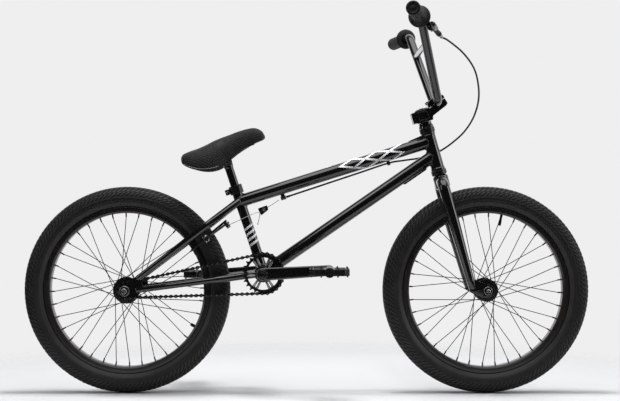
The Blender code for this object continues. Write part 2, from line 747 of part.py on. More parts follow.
def handlebar():
    side = [
        Vector((BAR_CLAMP.x, 0.030, BAR_CLAMP.z)),
        Vector((BAR_CLAMP.x - 0.001, 0.056, BAR_CLAMP.z + 0.003)),
        BAR_CORNER,
        GRIP_OUTER_END - (GRIP_OUTER_END - GRIP_INNER_END).normalized() * 0.004,
    ]
    half = rounded(side, 0.032, 3)
    other = [Vector((p.x, -p.y, p.z)) for p in reversed(half)]
    bar = tube(other + half, BAR_RADIUS, 2, 0.0018)
    low, high = side[1], BAR_CORNER
    share = (0.868 - low.z) / (high.z - low.z)
    cross = low.lerp(high, share)
    brace = rod(Vector((cross.x, -cross.y, cross.z)), cross, 0.0080, 12)
    finish(join(bar, brace), "handlebar", "gloss_black", HEAD_POINT)

    grip_line = (GRIP_OUTER_END - GRIP_INNER_END).normalized()
    length = (GRIP_OUTER_END - GRIP_INNER_END).length
    grip_bore = BAR_RADIUS + 4 * GAP
    profile = [
        (0, length - 0.0035), (grip_bore, length - 0.0035), (grip_bore, 0),
        (0.0265, 0), (0.0265, 0.0040), (0.0175, 0.0070), (0.0165, 0.0120),
        (0.0165, length - 0.003), (0.0135, length), (0, length),
    ]
    grip = turned(profile, GRIP_INNER_END, grip_line, 12, closed=False)
    other_grip = mirrored(grip)
    finish(grip, "grip_left", "grip_rubber", GRIP_INNER_END)
    other_end = Vector((GRIP_INNER_END.x, -GRIP_INNER_END.y, GRIP_INNER_END.z))
    finish(other_grip, "grip_right", "grip_rubber", other_end)


# Drive

def pitch_radius(teeth):
    return CHAIN_PITCH / 2 / math.sin(math.pi / teeth)


def toothed_outline(teeth, phase):
    """Roller seats and pointed teeth; the first seat is at the phase angle."""
    pitch = pitch_radius(teeth)
    root = pitch - ROLLER_RADIUS - 0.0002
    tip = pitch + 0.0023
    step = 2 * math.pi / teeth
    points = []
    for tooth in range(teeth):
        middle = phase + step * tooth
        for share, radius in ((-0.16, root), (0.16, root), (0.42, tip), (0.58, tip)):
            angle = middle + step * share
            points.append((radius * math.cos(angle), radius * math.sin(angle)))
    return points


def window(inner, outer, start, end):
    return arc(outer, start, end, 3) + arc(inner, end, start, 2)


def sprocket():
    outlines = [toothed_outline(SPROCKET_TEETH, 0)]
    hub_hole = arc(0.0098, 0, 2 * math.pi * 11 / 12, 11)
    outlines.append(hub_hole)
    for arm in range(6):
        middle = math.radians(60 * arm)
        outlines.append(window(0.0190, 0.0390, middle + math.radians(17), middle + math.radians(43)))
        outlines.append([
            (math.cos(middle) * along_arm - math.sin(middle) * across,
             math.sin(middle) * along_arm + math.cos(middle) * across)
            for along_arm, across in (
                (0.0205, -0.0016), (0.0385, -0.0030), (0.0385, 0.0030), (0.0205, 0.0016))
        ])
    plane = frame_at(BB_CENTRE + ACROSS * CHAINLINE, Vector((1, 0, 0)), -ACROSS)
    finish(plate(outlines, TOOTH_THICK, plane), "sprocket", "graphite", BB_CENTRE)


def driver():
    plane = frame_at(REAR_AXLE + ACROSS * CHAINLINE, Vector((1, 0, 0)), -ACROSS)
    cog = plate([toothed_outline(DRIVER_TEETH, 0)], TOOTH_THICK, plane)
    body = turned(
        [(0.0136, 0.0287), (0.0136, 0.0460), (0.0078, 0.0460), (0.0078, 0.0287)],
        REAR_AXLE, -ACROSS,
    )
    bore = rod(REAR_AXLE - ACROSS * 0.020, REAR_AXLE - ACROSS * 0.050, 0.0078, ROUND)
    finish(cut(join(cog, body), bore), "rear_driver", "black_steel", REAR_AXLE)


def chain_line():
    """The chain's two circles and the directions of its tangents, in the side plane."""
    big, small = pitch_radius(SPROCKET_TEETH), pitch_radius(DRIVER_TEETH)
    between = BB_CENTRE - REAR_AXLE
    heading = math.atan2(between.z, between.x)
    wrap = math.acos((big - small) / math.hypot(between.x, between.z))
    return big, small, heading, wrap


def chain_loop(offset):
    big, small, heading, wrap = chain_line()
    front = (BB_CENTRE.x, BB_CENTRE.z)
    back = (REAR_AXLE.x, REAR_AXLE.z)
    loop = arc(big + offset, heading - wrap, heading + wrap, 12, front)
    return loop + arc(small + offset, heading + wrap, heading + 2 * math.pi - wrap, 8, back)


def chain():
    made = None
    for side in (-1, 1):
        plane = frame_at(ACROSS * (CHAINLINE + side * 0.0025), Vector((1, 0, 0)), -ACROSS)
        strip = plate([chain_loop(0.0040), chain_loop(-0.0040)], 0.0014, plane)
        made = strip if made is None else join_rollers(made, strip)
    finish(made, "chain", "black_steel")


def join_rollers(first, second):
    """Ties the two side-plate loops with rollers along the straight runs."""
    big, small, heading, wrap = chain_line()
    for side in (1, -1):
        away = Vector((math.cos(heading + side * wrap), 0, math.sin(heading + side * wrap)))
        start = REAR_AXLE + away * small
        end = BB_CENTRE + away * big
        for share in (0.25, 0.45, 0.65):
            place = start.lerp(end, share)
            roller = rod(
                place + ACROSS * (CHAINLINE - 0.0027), place + ACROSS * (CHAINLINE + 0.0027),
                ROLLER_RADIUS - 0.0008, 8,
            )
            first = join(first, roller)
    return join(first, second)


def crankset():
    spindle = turned(
        [(0, -0.0870), (0.0105, -0.0870), (0.0105, -0.0833), (0.0093, -0.0833), (0.0093, 0.0833),
         (0.0105, 0.0833), (0.0105, 0.0870), (0, 0.0870)],
        BB_CENTRE, ACROSS, ROUND, closed=False,
    )
    finish(spindle, "crank_spindle", "steel", BB_CENTRE)
    for name, side, heading in (("right", -1, CRANK_ANGLE), ("left", 1, CRANK_ANGLE + math.pi)):
        pedal = BB_CENTRE + Vector((math.cos(heading), 0, math.sin(heading))) * CRANK_LENGTH
        plane = frame_at(
            BB_CENTRE + ACROSS * side * (CRANK_INNER + CRANK_THICK / 2), Vector((1, 0, 0)), -ACROSS
        )
        tip = (math.cos(heading) * CRANK_LENGTH, math.sin(heading) * CRANK_LENGTH)
        arm = plate([capsule((0, 0), 0.0160, tip, 0.0135, 5)], CRANK_THICK, plane)
        bevel = arm.modifiers.new("edges", "BEVEL")
        bevel.width = 0.0030
        bevel.segments = 1
        bevel.limit_method = "ANGLE"
        bevel.angle_limit = math.radians(50)
        arm = baked(arm)
        boss_start = 0.0397 if side < 0 else 0.0345
        boss = rod(
            BB_CENTRE + ACROSS * side * boss_start, BB_CENTRE + ACROSS * side * (CRANK_INNER + 0.005),
            0.0150, ROUND,
        )
        arm = join(arm, boss)
        arm = cut(
            arm,
            rod(BB_CENTRE + ACROSS * side * 0.03, BB_CENTRE + ACROSS * side * 0.09, 0.0098, ROUND),
            rod(pedal + ACROSS * side * 0.06, pedal + ACROSS * side * 0.09, 0.0076, 12),
        )
        finish(arm, f"crank_arm_{name}", "gloss_black", BB_CENTRE)
        pedal_pair(name, side, pedal)


def pedal_pair(name, side, pedal):
    start = pedal + ACROSS * side * (CRANK_INNER - 0.001)
    spindle = rod(start, pedal + ACROSS * side * 0.1820, 0.0070, 12)
    collar = rod(
        pedal + ACROSS * side * (CRANK_INNER + CRANK_THICK + GAP), pedal + ACROSS * side * 0.0860, 0.0095, 12
    )
    finish(join(spindle, collar), f"pedal_spindle_{name}", "steel", pedal)

    plane = frame_at(pedal + ACROSS * side * 0.1365, Vector((1, 0, 0)), UP)
    outline = [
        (-0.0485, -0.036), (-0.036, -0.0495), (0.036, -0.0495), (0.0485, -0.036),
        (0.0485, 0.036), (0.036, 0.0495), (-0.036, 0.0495), (-0.0485, 0.036),
    ]
    body = plate([outline], 0.0170, plane)
    barrel = rod(pedal + ACROSS * side * 0.0864, pedal + ACROSS * side * 0.1868, 0.0125, 12)
    bore = rod(pedal + ACROSS * side * 0.0800, pedal + ACROSS * side * 0.1830, 0.0076, 12)
    body = cut(join(body, barrel), bore)
    for ahead in (-0.0275, 0.0275):
        for out in (-0.0210, 0.0210):
            place = pedal + Vector((ahead, side * (0.1365 + out), 0))
            body = cut(body, box((0.0220, 0.0340, 0.0300), Matrix.Translation(place)))
    finish(body, f"pedal_{name}", "plastic", pedal)


# Seat

SADDLE_REAR = -0.3177
SADDLE_NOSE = -0.1050
SADDLE_END = 0.06
BASE_INSET = 0.0125
BASE_DROP = 0.0175
BASE_SKIRT = 0.62
# From the rear end (0) to the nose (1): how far along, crest height, depth of skirt, half width.
SADDLE_LINES = [
    (0.00, 0.5990, 0.0100, 0.0300), (0.035, 0.6045, 0.0265, 0.0440), (0.11, 0.6115, 0.0425, 0.0590),
    (0.20, 0.6180, 0.0550, 0.0655), (0.30, 0.6275, 0.0670, 0.0660), (0.40, 0.6385, 0.0755, 0.0610),
    (0.49, 0.6465, 0.0760, 0.0500), (0.58, 0.6535, 0.0640, 0.0390), (0.67, 0.6610, 0.0560, 0.0310),
    (0.79, 0.6685, 0.0470, 0.0255), (0.88, 0.6705, 0.0380, 0.0235), (0.955, 0.6640, 0.0250, 0.0190),
    (1.00, 0.6530, 0.0100, 0.0120),
]


def saddle_section(share):
    """The saddle's crest, skirt and half width at a share of its length."""
    for before, after in zip(SADDLE_LINES, SADDLE_LINES[1:]):
        if share <= after[0]:
            break
    part = (share - before[0]) / (after[0] - before[0])
    return [a + (b - a) * part for a, b in zip(before[1:], after[1:])]


def saddle_arch(share, half_inset, drop, skirt_cut, skirt_share, angles):
    """Points of one cross-section of the saddle, set in from its skin."""
    crest, skirt, half = saddle_section(share)
    skirt = (skirt - skirt_cut) * skirt_share
    x = SADDLE_REAR + (SADDLE_NOSE - SADDLE_REAR) * share
    return [
        (x, (half - half_inset) * math.sin(a), crest - drop - skirt * (1 - math.cos(a)) ** 1.4)
        for a in map(math.radians, angles)
    ]


def saddle_loft(depth, ends=0.0, inset=0.0, drop=0.0, skirt_share=1.0):
    """A shell of the saddle's form: its crowned top, its skirts and the hollow under them."""
    rows = []
    shape = bmesh.new()
    for share, *_ in SADDLE_LINES:
        outer_share = 0.5 + (share - 0.5) * (1 - 2 * ends)
        inner_share = 0.5 + (share - 0.5) * (1 - 2 * ends - 2 * SADDLE_END)
        outer = saddle_arch(
            outer_share, inset, drop, 0.0, skirt_share, (-90, -66, -38, 0, 38, 66, 90)
        )
        inner = saddle_arch(
            inner_share, inset + depth * 0.7, drop + depth, depth * 0.9, skirt_share,
            (86, 50, 0, -50, -86),
        )
        rows.append([shape.verts.new(point) for point in outer + inner])
    count = len(rows[0])
    for row, following in zip(rows, rows[1:]):
        for i in range(count):
            j = (i + 1) % count
            shape.faces.new((row[i], row[j], following[j], following[i]))
    shape.faces.new(rows[0])
    shape.faces.new(rows[-1])
    bmesh.ops.triangulate(shape, faces=shape.faces)
    mesh = bpy.data.meshes.new("saddle")
    shape.to_mesh(mesh)
    shape.free()
    return mesh_object(mesh)


def seat():
    foot = BB_CENTRE + SEAT_UP * 0.115
    head = BB_CENTRE + SEAT_UP * ((SEAT_PIVOT.z - BB_CENTRE.z) / SEAT_UP.z)
    post = tube([foot, head - SEAT_UP * 0.006], POST_RADIUS, 3, 0.0020)
    knuckle = rod(head - ACROSS * 0.0110, head + ACROSS * 0.0110, 0.0135, ROUND)
    bolt = rod(head - ACROSS * 0.0230, head + ACROSS * 0.0230, 0.0040, 10)
    finish(join(post, join(knuckle, bolt)), "seatpost", "gloss_black", foot)

    pad = saddle_loft(0.0100)
    finish(pad, "saddle_pad", "saddle_cloth", head)
    ends = 2.2 * BASE_INSET / (SADDLE_NOSE - SADDLE_REAR)
    base = saddle_loft(0.0040, ends, BASE_INSET, BASE_DROP, BASE_SKIRT)
    for side in (1, -1):
        ear = plate(
            [capsule((head.x, head.z), 0.0110, (head.x - 0.012, head.z + 0.0310), 0.0090, 5)],
            0.0050, frame_at(ACROSS * side * 0.0145, Vector((1, 0, 0)), -ACROSS),
        )
        base = join(base, ear)
    base = cut(base, rod(head - ACROSS * 0.03, head + ACROSS * 0.03, 0.0048, 12))
    finish(base, "saddle_base", "plastic", head)


# Brake

def brake_arms():
    outline = [
        (0.1915, 0.0315), (0.1915, 0.0420), (0.2220, 0.0460), (0.2450, 0.0470), (0.2560, 0.0420),
        (0.2830, 0.0180), (0.3060, -0.0130), (0.3080, -0.0250), (0.2970, -0.0270),
        (0.2740, 0.0020), (0.2630, 0.0210), (0.2470, 0.0310), (0.2250, 0.0315),
    ]
    for name, side, down in (("left", 1, 0.0120), ("right", -1, 0.0180)):
        low, high = stay(0, 0, down), stay(0, 0, down + 0.0050)
        middle = (low + high) / 2
        plane = frame_at(middle, STAY_UP, STAY_DOWN)
        turned_side = [(up, -side * across) for up, across in outline]
        arm = plate([turned_side], 0.0050, plane)
        pivot = stay(BRAKE_PIVOT_UP, side * BRAKE_PIVOT_Y, down)
        anchor = stay(0.3000, -side * 0.0200, down + 0.002)
        arm = join(arm, rod(anchor, stay(0.3000, -side * 0.0200, 0.0300), 0.0042, 8))
        arm = cut(arm, rod(pivot - STAY_DOWN * 0.02, pivot + STAY_DOWN * 0.03, 0.0052, 12))
        finish(arm, f"brake_arm_{name}", "satin_black", pivot)

        pad_down = down + 0.0025
        pad_up = math.sqrt(BRAKE_PAD_RADIUS ** 2 - pad_down ** 2)
        radial = stay(pad_up, 0, pad_down) - REAR_AXLE
        pad_at = stay(pad_up, side * 0.0243, pad_down)
        pad = box(BRAKE_PAD_SIZE, frame_at(pad_at, radial, radial.cross(ACROSS)))
        stud = rod(pad_at, stay(pad_up, side * 0.0308, pad_down), 0.0030, 8)
        finish(join(pad, stud), f"brake_pad_{name}", "tyre_rubber", pivot)


def brake_cable():
    yoke_rear = Vector((-0.1200, 0, 0.4585))
    yoke_front = Vector((-0.0960, 0, 0.4705))
    wire_line = (yoke_front - yoke_rear).normalized()
    plane = frame_at((yoke_rear + yoke_front) / 2, wire_line, -ACROSS)
    body = plate([[(-0.013, -0.011), (0.010, -0.006), (0.012, 0.006), (-0.013, 0.009)]], 0.006, plane)
    wire_end = CABLE_STOP - TOP_LINE * STOP_HALF
    wire_end -= (wire_end - yoke_front).normalized() * 0.0055
    wire = rod(yoke_front - wire_line * 0.004, wire_end, 0.0010, 6)
    tail = rod(yoke_rear + Vector((0.002, 0, -0.004)), yoke_rear + Vector((-0.003, 0, -0.029)), 0.0010, 6)
    made = join(body, wire, tail)
    for side in (1, -1):
        end = stay(0.3055, side * 0.0200, 0.0270)
        path = rounded([
            yoke_rear + Vector((0.004, 0, -0.001)), Vector((-0.1330, side * 0.0195, 0.4545)),
            Vector((-0.1720, side * 0.0205, 0.4360)), end,
        ], 0.012, 2)
        made = join(made, tube(path, 0.0010, 1))
    finish(made, "brake_yoke", "steel")


HOUSING_ROUTE = [
    (0.3272, -0.1795, 0.8783), (0.3420, -0.1720, 0.8720), (0.3800, -0.1500, 0.8450),
    (0.4100, -0.1250, 0.8090), (0.4240, -0.0980, 0.7680), (0.4260, -0.0750, 0.7300),
    (0.4160, -0.0520, 0.6920), (0.3960, -0.0300, 0.6590), (0.3690, -0.0050, 0.6330),
    (0.3440, 0.0180, 0.6150), (0.3200, 0.0290, 0.6030), (0.2850, 0.0225, 0.5945),
    (0.2450, 0.0080, 0.5885),
]


def smooth_path(points, per_span):
    """Points along a Catmull-Rom curve through the route."""
    route = [Vector(point) for point in points]
    route = [route[0] * 2 - route[1]] + route + [route[-1] * 2 - route[-2]]
    path = []
    for p0, p1, p2, p3 in zip(route, route[1:], route[2:], route[3:]):
        for step in range(per_span):
            t = step / per_span
            path.append((
                p1 * 2 + (p2 - p0) * t + (p0 * 2 - p1 * 5 + p2 * 4 - p3) * t ** 2
                + (p1 * 3 - p0 - p2 * 3 + p3) * t ** 3
            ) / 2)
    path.append(route[-2])
    return path


def brake_housing():
    stop = CABLE_STOP + TOP_LINE * (STOP_HALF + 2 * GAP)
    route = HOUSING_ROUTE + [CABLE_GUIDE] + [CABLE_GUIDE.lerp(stop, t) for t in (0.3, 0.65, 1)]
    finish(tube(smooth_path(route, 2), 0.0023, 2), "brake_housing", "housing")


def lever():
    grip_line = Vector((GRIP_OUTER_END.x - GRIP_INNER_END.x, -(GRIP_OUTER_END.y - GRIP_INNER_END.y),
                        GRIP_OUTER_END.z - GRIP_INNER_END.z)).normalized()
    ahead = Vector((0.784, 0, -0.620))
    ahead = (ahead - grip_line * ahead.dot(grip_line)).normalized()
    inner_end = Vector((GRIP_INNER_END.x, -GRIP_INNER_END.y, GRIP_INNER_END.z))
    middle = inner_end - grip_line * 0.0125
    normal = grip_line.cross(ahead)
    plane = frame_at(middle, grip_line, normal)

    def at(outward, forward, above=0.0):
        return middle + grip_line * outward + ahead * forward + normal * above

    ring = turned(
        [(0.0165, 0.0065), (0.0165, -0.0065),
         (BAR_RADIUS + 3 * GAP, -0.0065), (BAR_RADIUS + 3 * GAP, 0.0065)],
        middle, grip_line,
    )
    bridge = box((0.0140, 0.0300, 0.0200), frame_at(at(-0.0110, 0.0300), grip_line, normal))
    neck = box((0.0100, 0.0100, 0.0140), frame_at(at(-0.0015, 0.0185), grip_line, normal))
    bracket = join(ring, neck, bridge)
    for side in (1, -1):
        cheek = plate(
            [[(-0.0060, 0.0290), (0.0080, 0.0280), (0.0140, 0.0340), (0.0120, 0.0430), (-0.0060, 0.0445)]],
            0.0050, frame_at(at(0, 0, side * 0.0075), grip_line, normal),
        )
        bracket = join(bracket, cheek)
    pin = rod(at(0.0070, 0.0360, -0.0090), at(0.0070, 0.0360, 0.0090), 0.0022, 8)
    barrel_start, barrel_end = at(-0.0140, 0.0420), Vector((0.3255, -0.1800, 0.8795))
    turn = (barrel_end - barrel_start).normalized()
    barrel = join(
        rod(barrel_start, barrel_end - turn * 0.010, 0.0062, 10),
        rod(barrel_end - turn * 0.012, barrel_end, 0.0045, 10),
    )
    bracket = join(bracket, pin, barrel)
    finish(bracket, "lever_bracket", "satin_black", middle)

    blade = plate(
        [[(-0.0005, 0.0300), (-0.0025, 0.0350), (-0.0030, 0.0420), (0.0080, 0.0480), (0.0300, 0.0560), (0.0600, 0.0610),
          (0.1080, 0.0600), (0.1150, 0.0570), (0.1150, 0.0520), (0.1080, 0.0500), (0.0600, 0.0520),
          (0.0340, 0.0470), (0.0180, 0.0370), (0.0120, 0.0305)]],
        0.0090, plane,
    )
    hole = rod(at(0.0070, 0.0360, -0.0100), at(0.0070, 0.0360, 0.0100), 0.0028, 10)
    finish(cut(blade, hole), "brake_lever", "satin_black", at(0.0070, 0.0360))


def main():
    for old in list(bpy.data.objects):
        bpy.data.objects.remove(old)
    wheels()
    frame_tubes()
    main_tubes()
    stays()
    fork()
    stem()
    handlebar()
    sprocket()
    driver()
    chain()
    crankset()
    seat()
    brake_arms()
    brake_cable()
    brake_housing()
    lever()


main()
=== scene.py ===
"""The looks of a 20-inch BMX bicycle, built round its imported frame.

Metres throughout: +X is forward, +Y is the rider's left and +Z is up. The helpers at the
top return plain meshes in that frame, and piece() gathers them into one named object that
rides on a body of the frame and stands for its coarse solid.
"""

from math import acos, asin, atan2, cos, hypot, pi, radians, remainder, sin, sqrt, tan

import bmesh
import bpy
from mathutils import Matrix, Vector


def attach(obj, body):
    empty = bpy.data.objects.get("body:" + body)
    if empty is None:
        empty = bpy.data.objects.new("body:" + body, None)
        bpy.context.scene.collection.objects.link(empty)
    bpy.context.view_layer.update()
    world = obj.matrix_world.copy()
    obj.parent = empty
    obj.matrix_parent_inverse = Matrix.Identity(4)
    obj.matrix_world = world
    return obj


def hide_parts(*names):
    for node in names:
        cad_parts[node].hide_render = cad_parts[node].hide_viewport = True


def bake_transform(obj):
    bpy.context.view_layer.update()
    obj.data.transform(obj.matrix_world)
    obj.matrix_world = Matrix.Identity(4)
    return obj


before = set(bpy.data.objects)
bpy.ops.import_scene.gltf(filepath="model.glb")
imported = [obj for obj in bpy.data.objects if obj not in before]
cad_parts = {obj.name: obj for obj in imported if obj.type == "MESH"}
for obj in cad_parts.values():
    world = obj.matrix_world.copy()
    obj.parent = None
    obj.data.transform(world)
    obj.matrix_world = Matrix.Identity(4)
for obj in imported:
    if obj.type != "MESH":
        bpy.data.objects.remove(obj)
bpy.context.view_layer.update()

TAU = 2 * pi

# Main dimensions, the same as the frame's
TYRE_RADIUS = 0.261
WHEELBASE = 0.907
HEAD_ANGLE = radians(74.2)
SEAT_ANGLE = radians(71.7)
HEAD_POINT = Vector((0.3211, 0, 0.6116))
HEAD_RADIUS = 0.0170
MAIN_RADIUS = 0.0161
SEAT_TUBE_RADIUS = 0.0133
STAY_RADIUS = 0.0095
BB_CENTRE = Vector((-0.1084, 0, 0.3036))
BB_HALF = 0.034
BB_RADIUS = 0.0225
TOP_TUBE = (Vector((-0.1673, 0, 0.4855)), Vector((0.3140, 0, 0.6365)))
DOWN_TUBE = (BB_CENTRE, Vector((0.3230, 0, 0.6010)))
SEAT_TUBE_LENGTH = 0.2265
BAR_RADIUS = 0.0111
BAR_CLAMP = Vector((0.329, 0, 0.733))
GRIP_INNER = Vector((0.2687, 0.222, 0.9230))
GRIP_OUTER = Vector((0.2430, 0.355, 0.9250))
SEAT_PIVOT = Vector((-0.2015, 0, 0.5850))
CHAIN_PITCH = 0.0127
CHAIN_LINKS = 72
CHAINLINE = -0.0380
CRANK_LENGTH = 0.165
CRANK_ANGLE = radians(3.4)
STAY_SLOPE = radians(37.6)
BRAKE_PIVOT_UP = 0.2386
BRAKE_PIVOT_OUT = 0.038
FORK_SETBACK = -0.0025
FORK_LEG_OUT = 0.0495
STEM_WIDTH = 0.050
SPINDLE_HALF = 0.0835
PEDAL_OUT = 0.1365
THREAD_PITCH = 0.0010
TUBE_SIDES = 64

REAR_AXLE = Vector((-WHEELBASE / 2, 0, TYRE_RADIUS))
FRONT_AXLE = Vector((WHEELBASE / 2, 0, TYRE_RADIUS))
ACROSS = Vector((0, 1, 0))
AHEAD = Vector((1, 0, 0))
UP = Vector((0, 0, 1))
STEER_UP = Vector((-cos(HEAD_ANGLE), 0, sin(HEAD_ANGLE)))
STEER_FORWARD = Vector((sin(HEAD_ANGLE), 0, cos(HEAD_ANGLE)))
SEAT_UP = Vector((-cos(SEAT_ANGLE), 0, sin(SEAT_ANGLE)))
STAY_UP = Vector((cos(STAY_SLOPE), 0, sin(STAY_SLOPE)))
STAY_DOWN = Vector((sin(STAY_SLOPE), 0, -cos(STAY_SLOPE)))
TOP_LINE = (TOP_TUBE[1] - TOP_TUBE[0]).normalized()
TOP_DOWN = Vector((TOP_LINE.z, 0, -TOP_LINE.x))
CABLE_GUIDE = TOP_TUBE[0] + TOP_LINE * 0.387 + TOP_DOWN * 0.0205
CABLE_STOP = TOP_TUBE[0] + TOP_LINE * 0.1065 + TOP_DOWN * 0.0250


def towards(angle):
    """A direction in the side plane: forward at 0 and up at a quarter turn."""
    return Vector((cos(angle), 0, sin(angle)))


def steer(up, forward=0.0, across=0.0):
    """A point beside the steering axis, measured along it from the middle of the head tube."""
    return HEAD_POINT + STEER_UP * up + STEER_FORWARD * forward + ACROSS * across


def stay(up, across, down):
    """A point beside the seatstays: along them from the rear axle, across, and under them."""
    return REAR_AXLE + STAY_UP * up + ACROSS * across + STAY_DOWN * down


# Materials

def add(nodes, kind, **inputs):
    """A new shader node with its inputs set; an underscore stands for a space in an input's name."""
    node = nodes.new(f"ShaderNode{kind}")
    set_inputs(node, **inputs)
    return node


def set_inputs(node, **inputs):
    """Sets a shader node's inputs, named as in add()."""
    for name, value in inputs.items():
        node.inputs[name.replace("_", " ")].default_value = value


def surface(name, colour, roughness, metallic=0.0, coat=0.0, mottle=0.25, scale=60, bump=0.02,
            bump_scale=900, specular=0.5):
    """Paint, metal, rubber or plastic with uneven colour and gloss and a fine surface grain."""
    made = bpy.data.materials.new(name)
    made.use_nodes = True
    nodes, links = made.node_tree.nodes, made.node_tree.links
    shader = nodes["Principled BSDF"]
    set_inputs(shader, Metallic=metallic, Coat_Weight=coat, Coat_Roughness=0.05, Coat_IOR=1.6,
               Specular_IOR_Level=specular)
    place = add(nodes, "TexCoord")

    broad = add(nodes, "TexNoise", Scale=scale, Detail=6)
    links.new(place.outputs["Object"], broad.inputs["Vector"])
    tint = add(nodes, "ValToRGB")
    for stop, share in zip(tint.color_ramp.elements, (1 - mottle, 1 + mottle)):
        stop.color = (*(min(1, c * share) for c in colour), 1)
    tint.color_ramp.elements[0].position = 0.3
    tint.color_ramp.elements[1].position = 0.7
    links.new(broad.outputs["Fac"], tint.inputs["Fac"])
    links.new(tint.outputs["Color"], shader.inputs["Base Color"])

    gloss = add(nodes, "MapRange", To_Min=roughness * 0.85, To_Max=min(1, roughness * 1.15))
    links.new(broad.outputs["Fac"], gloss.inputs["Value"])
    links.new(gloss.outputs["Result"], shader.inputs["Roughness"])

    fine = add(nodes, "TexNoise", Scale=bump_scale, Detail=2)
    links.new(place.outputs["Object"], fine.inputs["Vector"])
    relief = add(nodes, "Bump", Strength=bump, Distance=0.001)
    links.new(fine.outputs["Fac"], relief.inputs["Height"])
    links.new(relief.outputs["Normal"], shader.inputs["Normal"])
    return made


def dotted(made, size, strength, dot_colour):
    """Adds staggered round dots, laid out on the mesh's own flat layer, to a surface() material."""
    nodes, links = made.node_tree.nodes, made.node_tree.links
    shader, relief = nodes["Principled BSDF"], nodes["Bump"]
    cells = add(nodes, "TexVoronoi")
    cells.voronoi_dimensions = "2D"
    cells.feature = "F1"
    set_inputs(cells, Scale=1 / size, Randomness=0.0)
    links.new(nodes["Texture Coordinate"].outputs["UV"], cells.inputs["Vector"])
    dots = add(nodes, "ValToRGB")
    for stop, position, shade in zip(dots.color_ramp.elements, (0.30, 0.44), (1, 0)):
        stop.position = position
        stop.color = (shade, shade, shade, 1)
    links.new(cells.outputs["Distance"], dots.inputs["Fac"])
    second = add(nodes, "Bump", Strength=strength, Distance=0.0012)
    links.new(dots.outputs["Color"], second.inputs["Height"])
    links.new(relief.outputs["Normal"], second.inputs["Normal"])
    links.new(second.outputs["Normal"], shader.inputs["Normal"])
    mix = add(nodes, "Mix")
    mix.data_type = "RGBA"
    mix.inputs[7].default_value = (dot_colour, dot_colour, dot_colour, 1)
    old = shader.inputs["Base Color"].links[0].from_socket
    links.new(dots.outputs["Color"], mix.inputs[0])
    links.new(old, mix.inputs[6])
    links.new(mix.outputs[2], shader.inputs["Base Color"])
    return made


LOOKS = {
    "gloss_black": surface("gloss_black", (0.0030, 0.0030, 0.0034), 0.22, coat=1.0, mottle=0.1,
                           bump=0.0015, bump_scale=60, specular=0.15),
    "satin_black": surface("satin_black", (0.0050, 0.0050, 0.0055), 0.30, mottle=0.2, bump=0.006),
    "rim_black": surface("rim_black", (0.0100, 0.0082, 0.0070), 0.30, mottle=0.15, scale=30,
                         coat=0.15, bump=0.004),
    "graphite": surface("graphite", (0.012, 0.012, 0.013), 0.34, metallic=0.5, bump=0.01),
    "steel": surface("steel", (0.42, 0.43, 0.44), 0.26, metallic=1.0, scale=200),
    "black_steel": surface("black_steel", (0.0075, 0.0070, 0.0065), 0.32, metallic=0.4, scale=150),
    "spoke": surface("spoke", (0.016, 0.012, 0.010), 0.34, metallic=0.4, scale=90),
    "nipple": surface("nipple", (0.11, 0.070, 0.042), 0.32, metallic=0.8, scale=90),
    "tyre_rubber": surface("tyre_rubber", (0.0105, 0.0102, 0.0100), 0.50, mottle=0.3, scale=35,
                           bump=0.10, bump_scale=1100, specular=0.32),
    # Painted light on the tread: the groove look is painted shade on the crown between the blocks, and the
    # block look is a paler copy painted as the light on the raised blocks.
    "tyre_groove_painted_shade": surface("tyre_groove_painted_shade", (0.0062, 0.0062, 0.0064), 0.60, specular=0.2),
    "tyre_block_painted_highlight": surface("tyre_block_painted_highlight", (0.0150, 0.0148, 0.0150), 0.50, mottle=0.3, scale=35,
                          bump=0.10, bump_scale=1100, specular=0.35),
    # A paler copy of the rubber, painted as the light falling on the sidewall's smooth band.
    "tyre_wall_painted_highlight": surface("tyre_wall_painted_highlight", (0.0185, 0.0180, 0.0176), 0.46, mottle=0.2, scale=35,
                         bump=0.05, bump_scale=1100, specular=0.35),
    "grip_rubber": surface("grip_rubber", (0.0105, 0.0100, 0.0098), 0.50, bump=0.08, specular=0.35),
    # The inner tube's own dark rubber, also painted on the tyre's bead as the shade in the gap at the rim.
    "tube_rubber": surface("tube_rubber", (0.004, 0.004, 0.004), 0.55, bump=0.05, specular=0.2),
    "plastic": surface("plastic", (0.022, 0.022, 0.024), 0.38, bump=0.02, bump_scale=1500),
    "saddle_cloth": dotted(
        surface("saddle_cloth", (0.0150, 0.0150, 0.0160), 0.52, bump=0.05, bump_scale=1400,
                specular=0.25),
        0.0058, 0.4, 0.0008,
    ),
    "saddle_smooth": surface("saddle_smooth", (0.0085, 0.0085, 0.0095), 0.48, bump=0.08,
                             bump_scale=1600, specular=0.25),
    "piping": surface("piping", (0.10, 0.10, 0.105), 0.45, bump=0.1, bump_scale=2500),
    "housing": surface("housing", (0.0060, 0.0055, 0.0052), 0.34, bump=0.02),
    "decal": surface("decal", (0.84, 0.85, 0.86), 0.34, mottle=0.05),
    "alloy": surface("alloy", (0.36, 0.36, 0.365), 0.36, metallic=0.9, scale=150),
    "steel_dark": surface("steel_dark", (0.16, 0.16, 0.165), 0.30, metallic=1.0, scale=150),
}


# Shapes: each returns a mesh in the frame's coordinates

def frame_at(origin, x_axis, z_axis):
    """The matrix that puts local X and Z along two directions, at an origin."""
    z = z_axis.normalized()
    x = (x_axis - z * x_axis.dot(z)).normalized()
    return Matrix.Translation(origin) @ Matrix((x, z.cross(x), z)).transposed().to_4x4()


def along(origin, axis):
    """A matrix with local Z along an axis."""
    helper = ACROSS if abs(axis.normalized().dot(ACROSS)) < 0.9 else UP
    return frame_at(origin, helper.cross(axis), axis)


def mesh_of(vertices, faces):
    mesh = bpy.data.meshes.new("shape")
    mesh.from_pydata([tuple(v) for v in vertices], [], faces)
    return mesh


